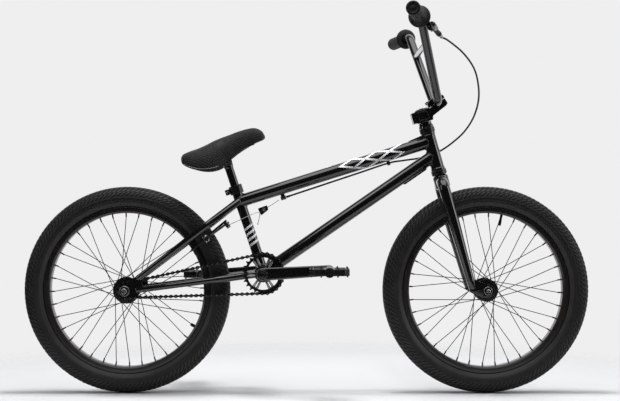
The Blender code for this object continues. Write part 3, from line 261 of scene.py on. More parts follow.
def soft(profile, radius, pieces=3, closed=True):
    """A 2D outline whose corners are rounded off."""
    count = len(profile)
    path = []
    for i, corner in enumerate(profile):
        if not closed and i in (0, count - 1):
            path.append(corner)
            continue
        here = Vector(corner)
        into, out = here - Vector(profile[i - 1]), Vector(profile[(i + 1) % count]) - here
        turn = into.angle(out) if into.length > 1e-9 and out.length > 1e-9 else 0
        if turn < radians(12):
            path.append(corner)
            continue
        cut = min(radius * tan(turn / 2), 0.45 * into.length, 0.45 * out.length)
        start, end = here - into.normalized() * cut, here + out.normalized() * cut
        for step in range(pieces + 1):
            t = step / pieces
            point = start * (1 - t) ** 2 + here * 2 * t * (1 - t) + end * t ** 2
            path.append(tuple(point))
    return path


def turned(profile, origin, axis, steps, closed=True, edge=0.0):
    """A profile of (radius, height) points turned about an axis."""
    if edge:
        profile = soft(profile, edge, 3, closed)
    basis = along(origin, axis)
    count = len(profile)
    vertices = [
        basis @ Vector((r * cos(TAU * s / steps), r * sin(TAU * s / steps), h))
        for s in range(steps) for r, h in profile
    ]
    faces = []
    for s in range(steps):
        t = (s + 1) % steps
        for i in range(count if closed else count - 1):
            j = (i + 1) % count
            faces.append((s * count + i, s * count + j, t * count + j, t * count + i))
    return mesh_of(vertices, faces)


def rod(start, end, radius, sides, edge=0.0006):
    """A solid round bar with softened rims."""
    half = (end - start).length / 2
    profile = [(0, -half), (radius, -half), (radius, half), (0, half)]
    return turned(profile, (start + end) / 2, end - start, sides, False, edge)


def rounded(points, radius, pieces):
    """A polyline whose inner corners are arcs of the given radius."""
    path = [points[0]]
    for before, corner, after in zip(points, points[1:], points[2:]):
        into = (corner - before).normalized()
        out = (after - corner).normalized()
        turn = into.angle(out)
        reach = radius * tan(turn / 2)
        reach = min(reach, 0.45 * (corner - before).length, 0.45 * (after - corner).length)
        bend = reach / tan(turn / 2)
        centre = corner + (out - into).normalized() * bend / cos(turn / 2)
        start = corner - into * reach - centre
        for step in range(pieces + 1):
            angle = turn * step / pieces
            path.append(centre + start * cos(angle) + into * bend * sin(angle))
    return path + [points[-1]]


def smooth_path(points, per_span):
    """Points along a Catmull-Rom curve through the route."""
    route = [Vector(point) for point in points]
    route = [route[0] * 2 - route[1]] + route + [route[-1] * 2 - route[-2]]
    path = []
    for p0, p1, p2, p3 in zip(route, route[1:], route[2:], route[3:]):
        for step in range(per_span):
            t = step / per_span
            path.append((
                p1 * 2 + (p2 - p0) * t + (p0 * 2 - p1 * 5 + p2 * 4 - p3) * t ** 2
                + (p1 * 3 - p0 - p2 * 3 + p3) * t ** 3
            ) / 2)
    path.append(route[-2])
    return path


def sweep(path, radius, sides, closed=False, domed=False):
    """A round bar along a path; the radius is one number or one for each point."""
    radii = list(radius) if hasattr(radius, "__len__") else [radius] * len(path)
    path = list(path)
    if domed:
        for end, inward in ((0, 1), (-1, -2)):
            out = (path[end] - path[inward]).normalized()
            size = radii[end]
            caps = [(path[end] + out * size * 0.5 * sin(a), size * cos(a))
                    for a in (0.5, 0.95, 1.3, 1.5)]
            if end == 0:
                path = [p for p, _ in reversed(caps)] + path
                radii = [r for _, r in reversed(caps)] + radii
            else:
                path += [p for p, _ in caps]
                radii += [r for _, r in caps]
    count = len(path)
    vertices, normal = [], None
    for i, point in enumerate(path):
        before = path[i - 1] if i or closed else point
        after = path[(i + 1) % count] if i < count - 1 or closed else point
        tangent = (after - before).normalized()
        if normal is None:
            normal = along(point, tangent).to_3x3().col[0]
        normal = (normal - tangent * normal.dot(tangent)).normalized()
        other = tangent.cross(normal)
        for s in range(sides):
            angle = TAU * s / sides
            vertices.append(point + (normal * cos(angle) + other * sin(angle)) * radii[i])
    faces = []
    for i in range(count if closed else count - 1):
        j = (i + 1) % count
        for s in range(sides):
            t = (s + 1) % sides
            faces.append((i * sides + s, i * sides + t, j * sides + t, j * sides + s))
    if not closed:
        faces.append(tuple(range(sides)))
        faces.append(tuple(range((count - 1) * sides, count * sides)))
    return mesh_of(vertices, faces)


def plate(outlines, thickness, matrix, edge, steps=2):
    """A flat plate with rounded edges; outlines after the first are holes in it."""
    curve = bpy.data.curves.new("outline", "CURVE")
    curve.dimensions = "2D"
    curve.fill_mode = "BOTH"
    curve.extrude = thickness / 2 - edge
    curve.bevel_depth = edge
    curve.bevel_resolution = steps
    curve.offset = -edge
    for outline in outlines:
        spline = curve.splines.new("POLY")
        spline.points.add(len(outline) - 1)
        spline.use_cyclic_u = True
        for target, (x, y) in zip(spline.points, outline):
            target.co = (x, y, 0, 1)
    source = bpy.data.objects.new("outline", curve)
    bpy.context.scene.collection.objects.link(source)
    bpy.context.view_layer.update()
    graph = bpy.context.evaluated_depsgraph_get()
    mesh = bpy.data.meshes.new_from_object(source.evaluated_get(graph))
    bpy.data.objects.remove(source)
    mesh.transform(matrix)
    return mesh


def block(size, matrix, edge=0.001):
    """A box with rounded edges."""
    x, y, z = size
    outline = soft([(-x / 2, -y / 2), (x / 2, -y / 2), (x / 2, y / 2), (-x / 2, y / 2)], edge)
    return plate([outline], z, matrix, edge)


def arc(radius, start, end, pieces, centre=(0.0, 0.0)):
    return [
        (
            centre[0] + radius * cos(start + (end - start) * i / pieces),
            centre[1] + radius * sin(start + (end - start) * i / pieces),
        )
        for i in range(pieces + 1)
    ]


def ring(radius, pieces, centre=(0.0, 0.0)):
    return arc(radius, 0, TAU * (pieces - 1) / pieces, pieces - 1, centre)


def capsule(first, first_radius, second, second_radius, pieces):
    """The outline round two circles: a straight or tapered arm with round ends."""
    reach = hypot(second[0] - first[0], second[1] - first[1])
    heading = atan2(second[1] - first[1], second[0] - first[0])
    flare = acos((first_radius - second_radius) / reach)
    back = arc(first_radius, heading + flare, heading + TAU - flare, pieces, first)
    return back + arc(second_radius, heading - flare, heading + flare, pieces, second)


def meet(origin, direction, other):
    """How far along a line it meets a round bar, given as (start, end, radius)."""
    base, tip, radius = other
    axis = (tip - base).normalized()
    offset = origin - base
    d = direction - axis * direction.dot(axis)
    o = offset - axis * offset.dot(axis)
    a, b, c = d.dot(d), o.dot(d), o.dot(o) - radius ** 2
    return (-b - sqrt(max(b * b - a * c, 0))) / a


def mitred(start, end, radius, at_start, at_end, wall=0.0014):
    """A hollow tube whose ends are mitred to round neighbours, or square where none is given."""
    middle = (start + end) / 2
    line = (end - start).normalized()
    basis = along(middle, line).to_3x3()
    half = (end - start).length / 2
    sides = TUBE_SIDES
    rows = [[], [], [], []]
    for s in range(sides):
        spoke = basis @ Vector((cos(TAU * s / sides), sin(TAU * s / sides), 0))
        outer = middle + spoke * radius
        inner = middle + spoke * (radius - wall)
        back = meet(outer, -line, at_start) if at_start else half
        front = meet(outer, line, at_end) if at_end else half
        rows[0].append(outer - line * back)
        rows[1].append(outer + line * front)
        rows[2].append(inner + line * front)
        rows[3].append(inner - line * back)
    faces = [
        (i * sides + s, i * sides + (s + 1) % sides,
         (i + 1) % 4 * sides + (s + 1) % sides, (i + 1) % 4 * sides + s)
        for i in range(4) for s in range(sides)
    ]
    return mesh_of(rows[0] + rows[1] + rows[2] + rows[3], faces)


def weld(start, end, radius, other, bead=0.0021, ripples=30):
    """The rippled bead where a tube, heading from start to end, meets a round neighbour."""
    line = (end - start).normalized()
    basis = along(start, line).to_3x3()
    count = ripples * 4
    path = []
    for s in range(count):
        spoke = basis @ Vector((cos(TAU * s / count), sin(TAU * s / count), 0))
        point = start + spoke * radius
        path.append(point + line * meet(point, line, other))
    radii = [bead * (0.88 + 0.12 * cos(TAU * s / 4)) for s in range(count)]
    return sweep(path, radii, 10, closed=True)


def bolt(point, axis, radius, height, driver=0.55, look="steel"):
    """A socket-head bolt, as (mesh, look) pairs: a round head with a six-sided recess."""
    hexagon = [(x * driver, y * driver) for x, y in ring(radius, 6)]
    head = plate([ring(radius, 32), hexagon], height, along(point + axis * height / 2, axis),
                 radius * 0.14)
    floor = rod(point - axis * 0.0005, point + axis * height * 0.35, radius * 0.85, 24, 0.0002)
    return [(head, look), (floor, look)]


def moved(mesh, matrix):
    made = mesh.copy()
    made.transform(matrix)
    return made


def mirrored(meshes):
    """The same meshes, or (mesh, look) pairs, on the other side of the bike."""
    flip = Matrix.Diagonal((1, -1, 1, 1))
    return [(moved(entry[0], flip), entry[1]) if isinstance(entry, tuple) else moved(entry, flip)
            for entry in meshes]


def piece(node, body, meshes, look, angle=35, name=None):
    """Gathers meshes, or (mesh, look) pairs, into one object that rides on a body.

    It stands for a node of the frame, or for none, and takes the node's name unless given one.
    """
    name = name or f"{node}_made"
    looks, shape = [look], bmesh.new()
    for entry in meshes:
        mesh, its_look = entry if isinstance(entry, tuple) else (entry, look)
        if its_look not in looks:
            looks.append(its_look)
        part = bmesh.new()
        part.from_mesh(mesh)
        bmesh.ops.remove_doubles(part, verts=part.verts, dist=1e-6)
        bmesh.ops.dissolve_degenerate(part, edges=part.edges, dist=1e-7)
        bmesh.ops.recalc_face_normals(part, faces=part.faces)
        for face in part.faces:
            face.material_index = looks.index(its_look)
            face.smooth = True
        scratch = bpy.data.meshes.new("scratch")
        part.to_mesh(scratch)
        part.free()
        shape.from_mesh(scratch)
        bpy.data.meshes.remove(scratch)
    data = bpy.data.meshes.new(name)
    shape.to_mesh(data)
    shape.free()
    for its_look in looks:
        data.materials.append(LOOKS[its_look])
    data.set_sharp_from_angle(angle=radians(angle))
    made = bpy.data.objects.new(name, data)
    bpy.context.scene.collection.objects.link(made)
    if body:
        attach(made, body)
    if node:
        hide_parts(node)
    return made


# Wheels

CASING_CENTRE = TYRE_RADIUS - 0.0275
CASING_RADIUS = 0.0262
TREAD_ROWS = ((-84, -58, -2.2, 0.0005), (-55, -36, -1.4, 0.0008), (-33, -12, -1.2, 0.0011),
              (-9, 9, -1.0, 0.0012), (12, 33, 1.2, 0.0011), (36, 55, 1.4, 0.0008),
              (58, 84, 2.2, 0.0005))
TREAD_BLOCKS = 132
# How far out from the casing's core the bead and the sidewall's band end: the bead is painted near-black
# as the shade in the gap at the rim, and the band paler as the light that falls on it.
BEAD_SHADE_OUT = -0.0205
LIT_WALL_OUT = -0.0120
SPOKES_PER_SIDE = 18
VALVE_FRONT = radians(77.7)
VALVE_REAR = radians(-28.7)


def casing_point(axle, turn, across, depth):
    """A point of the tyre: round the wheel, round its section, and out from the casing's core."""
    radius = CASING_CENTRE + depth * cos(across)
    return axle + Vector((radius * cos(turn), depth * sin(across), radius * sin(turn)))


def tread(axle):
    """Slanted low blocks in seven rows, each tapered and following the casing."""
    vertices, faces = [], []
    step = TAU / TREAD_BLOCKS
    for row, (low, high, slant, height) in enumerate(TREAD_ROWS):
        low, high = radians(low), radians(high)
        for block_number in range(TREAD_BLOCKS):
            centre = step * (block_number + 0.5 * (row % 2))
            first = len(vertices)
            for station in range(4):
                across = low + (high - low) * station / 3
                lead = slant * step * 0.55 * (station / 3 - 0.5)
                for side, depth in ((-0.31, -0.0004), (-0.25, height), (0.25, height), (0.31, -0.0004)):
                    vertices.append(casing_point(
                        axle, centre + lead + side * step, across, CASING_RADIUS + depth
                    ))
            for station in range(3):
                for corner in range(3):
                    a = first + station * 4 + corner
                    faces.append((a, a + 1, a + 5, a + 4))
                a = first + station * 4
                faces.append((a, a + 4, a + 7, a + 3))
            faces.append(tuple(first + i for i in range(4)))
            faces.append(tuple(first + 12 + i for i in range(4)))
    return mesh_of(vertices, faces)


def tyre(end, axle):
    """The casing: a bead, a sidewall with fine raised lines, and the crown under the tread."""
    lines = {62: 0.0004, 66: 0.0002, 84: 0.0005, 88: 0.0005, 104: 0.0003, 112: 0.0006}
    half = [(0.2032, 0.0130), (0.2032, 0.0156), (0.2105, 0.0160), (0.2120, 0.0176)]
    for degrees in range(124, -1, -2):
        angle = radians(degrees)
        depth = CASING_RADIUS + lines.get(degrees, 0)
        half.append((CASING_CENTRE + depth * cos(angle), depth * sin(angle)))
    inside = [
        (CASING_CENTRE + 0.0235 * cos(a), 0.0235 * sin(a))
        for a in map(radians, range(0, 129, 8))
    ]
    section = (
        half + [(r, -y) for r, y in reversed(half[:-1])]
        + [(r, -y) for r, y in reversed(inside[1:])] + inside
    )
    casing = turned(section, axle, -ACROSS, 160)
    # The tread blocks take the paler look, painted as the light on them.
    made = piece(f"{end}_tyre", f"{end}_wheel", [casing, (tread(axle), "tyre_block_painted_highlight")],
                 "tyre_rubber")
    made.data.materials.append(LOOKS["tyre_groove_painted_shade"])
    made.data.materials.append(LOOKS["tyre_wall_painted_highlight"])
    made.data.materials.append(LOOKS["tube_rubber"])
    for face in made.data.polygons:
        reach = face.center - axle
        out = hypot(reach.x, reach.z) - CASING_CENTRE
        if face.material_index != 0:
            continue
        # The crown between the blocks gets the painted shade of the grooves.
        if abs(atan2(reach.y, out)) < radians(85):
            face.material_index = 2
        # The bead is painted near-black as the shade in the gap at the rim.
        elif out < BEAD_SHADE_OUT:
            face.material_index = 4
        # The sidewall's band is painted paler as the light that falls on it.
        elif out < LIT_WALL_OUT:
            face.material_index = 3


def rim(end, axle, phase):
    """A single-wall rim with a lipped flange, and the nipples of the spokes in its bed."""
    half = [
        (0.1940, 0.0000), (0.1940, 0.0125), (0.1952, 0.0152), (0.1990, 0.0176), (0.2088, 0.0178),
        (0.2095, 0.0174), (0.2095, 0.0162), (0.2087, 0.0158), (0.2032, 0.0160), (0.2012, 0.0150),
        (0.1968, 0.0105), (0.1962, 0.0000),
    ]
    section = half + [(r, -y) for r, y in reversed(half[1:-1])]
    made = [turned(soft(section, 0.0005, 2), axle, -ACROSS, 192)]
    nipples = []
    for number in range(2 * SPOKES_PER_SIDE):
        turn = phase + pi / SPOKES_PER_SIDE * (number + 1)
        out = towards(turn)
        foot = axle + out * 0.1945 + ACROSS * (-1) ** (number + 1) * 0.0040
        profile = [(0, -0.0110), (0.0013, -0.0110), (0.0019, -0.0090), (0.0019, -0.0010),
                   (0.0030, 0.0000), (0.0030, 0.0006), (0, 0.0006)]
        nipples.append((turned(profile, foot, out, 12, False), "nipple"))
    piece(f"{end}_rim", f"{end}_wheel", made + nipples, "rim_black")


def valve(end, axle, turn, tip):
    """The valve stem and its cap, which ends at tip from the axle, with a shallow tube behind."""
    out = towards(turn)
    seat_out = tip + 0.0140
    stem = [(0, 0.2030), (0.0040, 0.2030), (0.0034, 0.1960), (0.0030, seat_out), (0, seat_out)]
    ribs = [(0.0036 + 0.0004 * (i % 2), seat_out - 0.0004 * i) for i in range(12)]
    cap = [(0.0040, tip + 0.0030), (0.0033, tip + 0.0002), (0, tip)]
    fresh = turned(stem, axle, out, 24, False)
    top = turned([(0, seat_out)] + ribs + cap, axle, out, 24, False)
    belly = turned([
        (0.2335 + 0.0185 * cos(a), 0.0185 * sin(a))
        for a in (TAU * i / 24 for i in range(24))
    ], axle, -ACROSS, 96)
    piece(f"{end}_inner_tube", f"{end}_wheel", [fresh, top, belly],
          "tube_rubber", name=f"{end}_tube_made")


def spokes(end, axle, hub_radius, hub_y, side, phase):
    """Crossed spokes with elbows and heads; the two leans leave opposite faces of the flange."""
    made = []
    step = 2 * TAU / SPOKES_PER_SIDE
    for lean, offset, face in ((radians(60), step / 2, 1), (-radians(60), 0, -1)):
        for number in range(SPOKES_PER_SIDE // 2):
            at_rim = phase + offset + step * number
            at_hub = at_rim + lean
            rim_end = axle + Vector((0.1855 * cos(at_rim), side * 0.0052,
                                     0.1855 * sin(at_rim)))
            spot = towards(at_hub)
            level = hub_y + face * 0.0016
            elbow = axle + spot * hub_radius + ACROSS * side * level
            head = elbow - ACROSS * side * face * 0.0036
            out = (rim_end - elbow).normalized()
            path = [head, elbow - ACROSS * side * face * 0.0008, elbow + out * 0.0014,
                    elbow + out * 0.004, rim_end]
            made.append(sweep(path, 0.00100, 8))
            profile = [(0, 0), (0.0021, 0), (0.0019, 0.0007), (0.0010, 0.0012), (0, 0.0013)]
            made.append(turned(profile, head, -ACROSS * side * face, 12, False))
    name = f"{end}_spokes_{'left' if side > 0 else 'right'}"
    piece(name, f"{end}_wheel", made, "spoke")


def hub(end, axle, right, left, right_end, left_end, bore):
    """A turned shell with dished flanges; each flange is (radius, inner face, outer face)."""
    section = [
        (bore, -right_end), (0.0125, -right_end), (0.0125, -right[2]),
        (right[0] * 0.62, -right[2] - 0.0004),
        (right[0] - 0.007, -right[2]), (right[0], -right[2]), (right[0], -right[1]),
        (right[0] - 0.008, -right[1]), (0.0175, -right[1] + 0.004), (0.0145, -right[1] + 0.010),
        (0.0145, left[1] - 0.010), (0.0175, left[1] - 0.004), (left[0] - 0.008, left[1]),
        (left[0], left[1]), (left[0], left[2]), (left[0] - 0.007, left[2]),
        (left[0] * 0.62, left[2] + 0.0004), (0.0160, left[2]), (0.0160, left_end), (bore, left_end),
    ]
    piece(f"{end}_hub", f"{end}_wheel", [turned(section, axle, ACROSS, 72, edge=0.0008)],
          "satin_black")


def threaded(radius, low, high):
    """The profile of a stretch of screw thread, as shallow rings."""
    count = int((high - low) / THREAD_PITCH)
    return [(radius - (0.0004 if i % 2 else 0), low + (high - low) * i / (2 * count))
            for i in range(2 * count + 1)]


def axle_rod(end, body, axle, radius, half, inner, shoulder_radius, shoulder_out):
    """The threaded axle with its cones' shoulders."""
    right = [(r, -h) for r, h in reversed(threaded(radius, inner, half - 0.0006))]
    left = threaded(radius, inner, half - 0.0006)
    plain = [(radius, -inner + 0.001), (radius, inner - 0.001)]
    profile = [(0, -half), (radius - 0.0008, -half)] + right + plain + left
    profile += [(radius - 0.0008, half), (0, half)]
    made = [turned(profile, axle, ACROSS, 32, False)]
    for side in (1, -1):
        cone = [(radius - 0.0006, shoulder_out - 0.0075), (shoulder_radius, shoulder_out - 0.0055),
                (shoulder_radius, shoulder_out), (radius - 0.0006, shoulder_out)]
        made.append(turned(cone, axle, ACROSS * side, 32, edge=0.0004))
    piece(f"{end}_axle", body, made, "steel")


def axle_nut(end, side, body, axle, inner, height, flats, bore):
    """A flanged hexagon nut with a chamfered face and a knurled washer face."""
    base = axle + ACROSS * side * inner
    washer = turned([(bore, 0), (flats * 1.15, 0), (flats * 1.15, 0.0016), (flats * 1.02, 0.0026),
                     (bore, 0.0026)], base, ACROSS * side, 48, edge=0.0004)
    hexagon = plate([ring(flats, 6), ring(bore, 24)], height - 0.0024,
                    along(base + ACROSS * side * (0.0024 + (height - 0.0024) / 2), ACROSS), 0.0008)
    teeth = [
        block((0.0022, 0.0009, 0.0010),
              frame_at(base + spot * (flats * 1.15 - 0.0009) + ACROSS * side * 0.0014,
                       spot, ACROSS * side),
              0.0002)
        for spot in (towards(TAU * i / 20) for i in range(20))
    ]
    name = f"{end}_nut_{'left' if side > 0 else 'right'}"
    piece(name, body, [(washer, "steel_dark"), hexagon] + teeth, "black_steel")


def wheels():
    between = pi / SPOKES_PER_SIDE
    for end, axle, turn, tip in (("front", FRONT_AXLE, VALVE_FRONT, 0.1660),
                                 ("rear", REAR_AXLE, VALVE_REAR, 0.1820)):
        tyre(end, axle)
        rim(end, axle, turn)
        valve(end, axle, turn, tip)
    hub("front", FRONT_AXLE, (0.0290, 0.0270, 0.0300), (0.0290, 0.0270, 0.0300), 0.0410, 0.0410, 0.0060)
    hub("rear", REAR_AXLE, (0.0340, 0.0208, 0.0238), (0.0290, 0.0300, 0.0330), 0.0280, 0.0465, 0.0078)
    spokes("front", FRONT_AXLE, 0.0255, 0.0285, -1, VALVE_FRONT + between)
    spokes("front", FRONT_AXLE, 0.0255, 0.0285, 1, VALVE_FRONT + 2 * between)
    spokes("rear", REAR_AXLE, 0.0305, 0.0223, -1, VALVE_REAR + between)
    spokes("rear", REAR_AXLE, 0.0255, 0.0315, 1, VALVE_REAR + 2 * between)
    axle_rod("front", "fork", FRONT_AXLE, 0.0048, 0.0670, 0.0500, 0.0085, 0.0498)
    axle_rod("rear", "frame", REAR_AXLE, 0.0070, 0.0730, 0.0550, 0.0110, 0.0548)
    for side in (1, -1):
        axle_nut("front", side, "fork", FRONT_AXLE, 0.0557, 0.0090, 0.0096, 0.0054)
        axle_nut("rear", side, "frame", REAR_AXLE, 0.0607, 0.0100, 0.0115, 0.0076)


# Frame

def decal(start, line, radius, shapes):
    """Thin painted shapes on a tube: each is four (along, angle) corners, angle 0 facing right."""
    vertices, faces = [], []
    level = UP - line * UP.dot(line)
    level.normalize()
    for corners in shapes:
        first = len(vertices)
        rows = 7
        for lift in (0.0001, -0.0008):
            for i in range(rows):
                for j in range(rows):
                    u, v = i / (rows - 1), j / (rows - 1)
                    a, b, c, d = (Vector(p) for p in corners)
                    spot = (a * (1 - u) + b * u) * (1 - v) + (d * (1 - u) + c * u) * v
                    out = -ACROSS * cos(spot.y) + level * sin(spot.y)
                    vertices.append(start + line * spot.x + out * (radius + 0.00022 + lift))
        size = rows * rows
        for layer in (0, size):
            faces += [
                (first + layer + i * rows + j, first + layer + (i + 1) * rows + j,
                 first + layer + (i + 1) * rows + j + 1, first + layer + i * rows + j + 1)
                for i in range(rows - 1) for j in range(rows - 1)
            ]
        rim_loop = (
            [(i, 0) for i in range(rows)] + [(rows - 1, j) for j in range(1, rows)]
            + [(i, rows - 1) for i in range(rows - 2, -1, -1)] + [(0, j) for j in range(rows - 2, 0, -1)]
        )
        for (i, j), (k, m) in zip(rim_loop, rim_loop[1:] + rim_loop[:1]):
            faces.append((first + i * rows + j, first + k * rows + m,
                          first + size + k * rows + m, first + size + i * rows + j))
    return mesh_of(vertices, faces)


def lattice():
    """The top tube's band of crossed pale stripes, over its near side, its top and its far side."""
    shapes = []
    pitch, width, first, last = 0.0644, 0.0125, 0.3326, 0.4300
    step = radians(47.5)
    starts = (0.298, 0.266, 0.266, 0.234, 0.234, 0.266, 0.266)
    for row, start in enumerate(starts):
        low = radians(-68) + step * row
        for number in range(-3, 4):
            even = first + pitch * number
            for odd in (even - pitch / 2, even + pitch / 2):
                if min(even, odd) < start or max(even, odd) > last:
                    continue
                a, b = (even, odd) if row % 2 == 0 else (odd, even)
                shapes.append(((a - width / 2, low), (b - width / 2, low + step),
                               (b + width / 2, low + step), (a + width / 2, low)))
    return shapes


def frame_tubes():
    head_bar = (steer(-0.049), steer(0.049), HEAD_RADIUS)
    bb_bar = (BB_CENTRE - ACROSS * BB_HALF, BB_CENTRE + ACROSS * BB_HALF, BB_RADIUS)
    seat_top = BB_CENTRE + SEAT_UP * SEAT_TUBE_LENGTH
    seat_bar = (BB_CENTRE, seat_top, SEAT_TUBE_RADIUS)

    head_profile = [(0.0150, -0.049), (0.0182, -0.049), (0.0182, -0.0445), (HEAD_RADIUS, -0.0425),
                    (HEAD_RADIUS, 0.0425), (0.0182, 0.0445), (0.0182, 0.049), (0.0150, 0.049)]
    piece("head_tube", "frame", [turned(head_profile, HEAD_POINT, STEER_UP, 64, edge=0.0006)],
          "gloss_black")

    line = (DOWN_TUBE[1] - DOWN_TUBE[0]).normalized()
    gusset_low = DOWN_TUBE[1] - line * 0.070
    gusset = plate(
        [soft([(-0.034, 0.012), (-0.022, -0.004), (0.044, -0.004), (0.064, 0.012)], 0.006)],
        0.004, frame_at(gusset_low - UP * 0.0185, line, -ACROSS), 0.0006,
    )
    middle = (DOWN_TUBE[0] + DOWN_TUBE[1]) / 2
    piece("down_tube", "frame", [
        mitred(*DOWN_TUBE, MAIN_RADIUS, bb_bar, head_bar), gusset,
        weld(middle, DOWN_TUBE[1], MAIN_RADIUS, head_bar),
        weld(middle, DOWN_TUBE[0], MAIN_RADIUS, bb_bar),
    ], "gloss_black")

    gusset = plate(
        [soft([(-0.042, 0.013), (-0.024, 0.018), (0.014, 0.022), (0.030, 0.013)], 0.005)],
        0.004, frame_at(TOP_TUBE[1] - TOP_LINE * 0.024, TOP_LINE, -ACROSS), 0.0006,
    )
    guide = turned([(0.0060, 0.004), (0.0060, -0.004), (0.0037, -0.004), (0.0037, 0.004)],
                   CABLE_GUIDE, TOP_LINE, 32, edge=0.0008)
    stop = turned([(0.0050, 0.007), (0.0050, -0.007), (0.0016, -0.007), (0.0016, 0.007)],
                  CABLE_STOP, TOP_LINE, 32, edge=0.0008)
    post = block((0.010, 0.004, 0.008), frame_at(CABLE_STOP - TOP_DOWN * 0.0075, TOP_LINE, -TOP_DOWN))
    middle = (TOP_TUBE[0] + TOP_TUBE[1]) / 2
    piece("top_tube", "frame", [
        mitred(*TOP_TUBE, MAIN_RADIUS, seat_bar, head_bar), gusset, guide, stop, post,
        weld(middle, TOP_TUBE[1], MAIN_RADIUS, head_bar),
        weld(middle, TOP_TUBE[0], MAIN_RADIUS, seat_bar),
        (decal(TOP_TUBE[0], TOP_LINE, MAIN_RADIUS, lattice()), "decal"),
    ], "gloss_black")

    bands = []
    for low in (0.072, 0.086, 0.100, 0.114):
        bands.append(((low, -1.05), (low + 0.010, 1.15), (low + 0.016, 1.15), (low + 0.006, -1.05)))
    piece("seat_tube", "frame", [
        mitred(BB_CENTRE, seat_top, SEAT_TUBE_RADIUS, bb_bar, None, 0.0013),
        weld(seat_top, BB_CENTRE, SEAT_TUBE_RADIUS, bb_bar),
        (decal(BB_CENTRE, SEAT_UP, SEAT_TUBE_RADIUS, bands), "decal"),
    ], "gloss_black")

    shell = turned([(BB_RADIUS, BB_HALF), (BB_RADIUS, -BB_HALF), (0.0188, -BB_HALF), (0.0188, BB_HALF)],
                   BB_CENTRE, ACROSS, 72, edge=0.0008)
    piece("bb_shell", "frame", [shell], "gloss_black")
    for name, side in (("left", 1), ("right", -1)):
        seal = turned([(0.0182, 0.0245), (0.0182, 0.0337), (0.0160, 0.0337), (0.0160, 0.0330),
                       (0.0120, 0.0330), (0.0120, 0.0337), (0.0100, 0.0337), (0.0100, 0.0245)],
                      BB_CENTRE, ACROSS * side, 48, edge=0.0003)
        piece(f"bb_bearing_{name}", "frame", [(seal, "black_steel")], "steel")
    for name, side in (("upper", 1), ("lower", -1)):
        profile = [(0.0143, 0.0400), (0.0143, 0.0493), (0.0195, 0.0493), (0.0195, 0.0600),
                   (0.0180, 0.0620), (0.0134, 0.0620), (0.0134, 0.0400)]
        cup = turned([(r, side * h) for r, h in profile], HEAD_POINT, STEER_UP, 64, edge=0.0006)
        piece(f"headset_cup_{name}", "frame", [cup], "satin_black")

    low = BB_CENTRE + SEAT_UP * (SEAT_TUBE_LENGTH - 0.0150)
    collar = turned([(0.0172, 0.0215), (0.0172, 0), (0.0141, 0), (0.0141, 0.0155), (0.0118, 0.0155),
                     (0.0118, 0.0215)], low, SEAT_UP, 64, edge=0.0009)
    back = SEAT_UP.cross(ACROSS)
    made = [collar]
    for side in (1, -1):
        made.append(block((0.014, 0.0068, 0.014), frame_at(
            low + back * 0.0215 + SEAT_UP * 0.0105 + ACROSS * side * 0.0045, back, SEAT_UP), 0.0015))
    bolt_at = low + back * 0.0225 + SEAT_UP * 0.0105
    made += bolt(bolt_at - ACROSS * 0.0079, -ACROSS, 0.0040, 0.0052)
    made.append((rod(bolt_at - ACROSS * 0.007, bolt_at + ACROSS * 0.0120, 0.0026, 16), "steel"))
    piece("seat_clamp", "frame", made, "satin_black")


def stays():
    middle = 0.0553 + 0.0025
    drop_frame = frame_at(REAR_AXLE + ACROSS * middle, AHEAD, -ACROSS)
    outline = (
        arc(0.0175, radians(70), radians(155), 9) + [(-0.0159, 0.0074)]
        + arc(0.0074, radians(90), radians(-90), 12) + [(-0.0159, -0.0074)]
        + arc(0.0175, radians(205), radians(290), 9)
        + [(0.034, -0.0090), (0.044, 0.0060), (0.043, 0.0220), (0.030, 0.0360), (0.018, 0.0300)]
    )
    dropout = plate([outline], 0.0050, drop_frame, 0.0007)
    path = rounded([
        Vector((-0.4235, 0.0580, 0.2635)), Vector((-0.2250, 0.0430, 0.2886)),
        Vector((-0.1660, 0.0240, 0.2962)), Vector((-0.1285, 0.0222, 0.3009)),
    ], 0.060, 8)
    count = len(path)
    radii = [0.0072 + 0.0023 * min(1, i / (count * 0.25)) for i in range(count)]
    radii[0] = 0.0075
    chainstay = [sweep(path, radii, 32, domed=True), dropout]
    foot, heading = path[-1], (path[-1] - path[-2]).normalized()
    shell = (BB_CENTRE - ACROSS * BB_HALF, BB_CENTRE + ACROSS * BB_HALF, BB_RADIUS)
    chainstay.append(weld(foot - heading * 0.02, foot, STAY_RADIUS, shell, 0.0018, 22))

    line = [Vector((-0.4210, 0.0580, 0.2925)), Vector((-0.2475, 0.0430, 0.4262)),
            Vector((-0.1660, 0.0150, 0.4890))]
    path = rounded(line, 0.050, 8)
    path[-1] = path[-1] - (path[-1] - path[-2]).normalized() * 0.006
    seatstay = [sweep(path, [0.0074] + [STAY_RADIUS] * (len(path) - 1), 32, domed=True)]
    post = rod(stay(BRAKE_PIVOT_UP, BRAKE_PIVOT_OUT, -0.004),
               stay(BRAKE_PIVOT_UP, BRAKE_PIVOT_OUT, 0.0257), 0.0045, 24)
    seatstay.append(post)
    seatstay += bolt(stay(BRAKE_PIVOT_UP, BRAKE_PIVOT_OUT, 0.0240), STAY_DOWN, 0.0062, 0.0050)
    for name, pieces in (("chainstay", chainstay), ("seatstay", seatstay)):
        piece(f"{name}_left", "frame", pieces, "gloss_black")
        piece(f"{name}_right", "frame", mirrored(pieces), "gloss_black")


# Fork, stem and bar

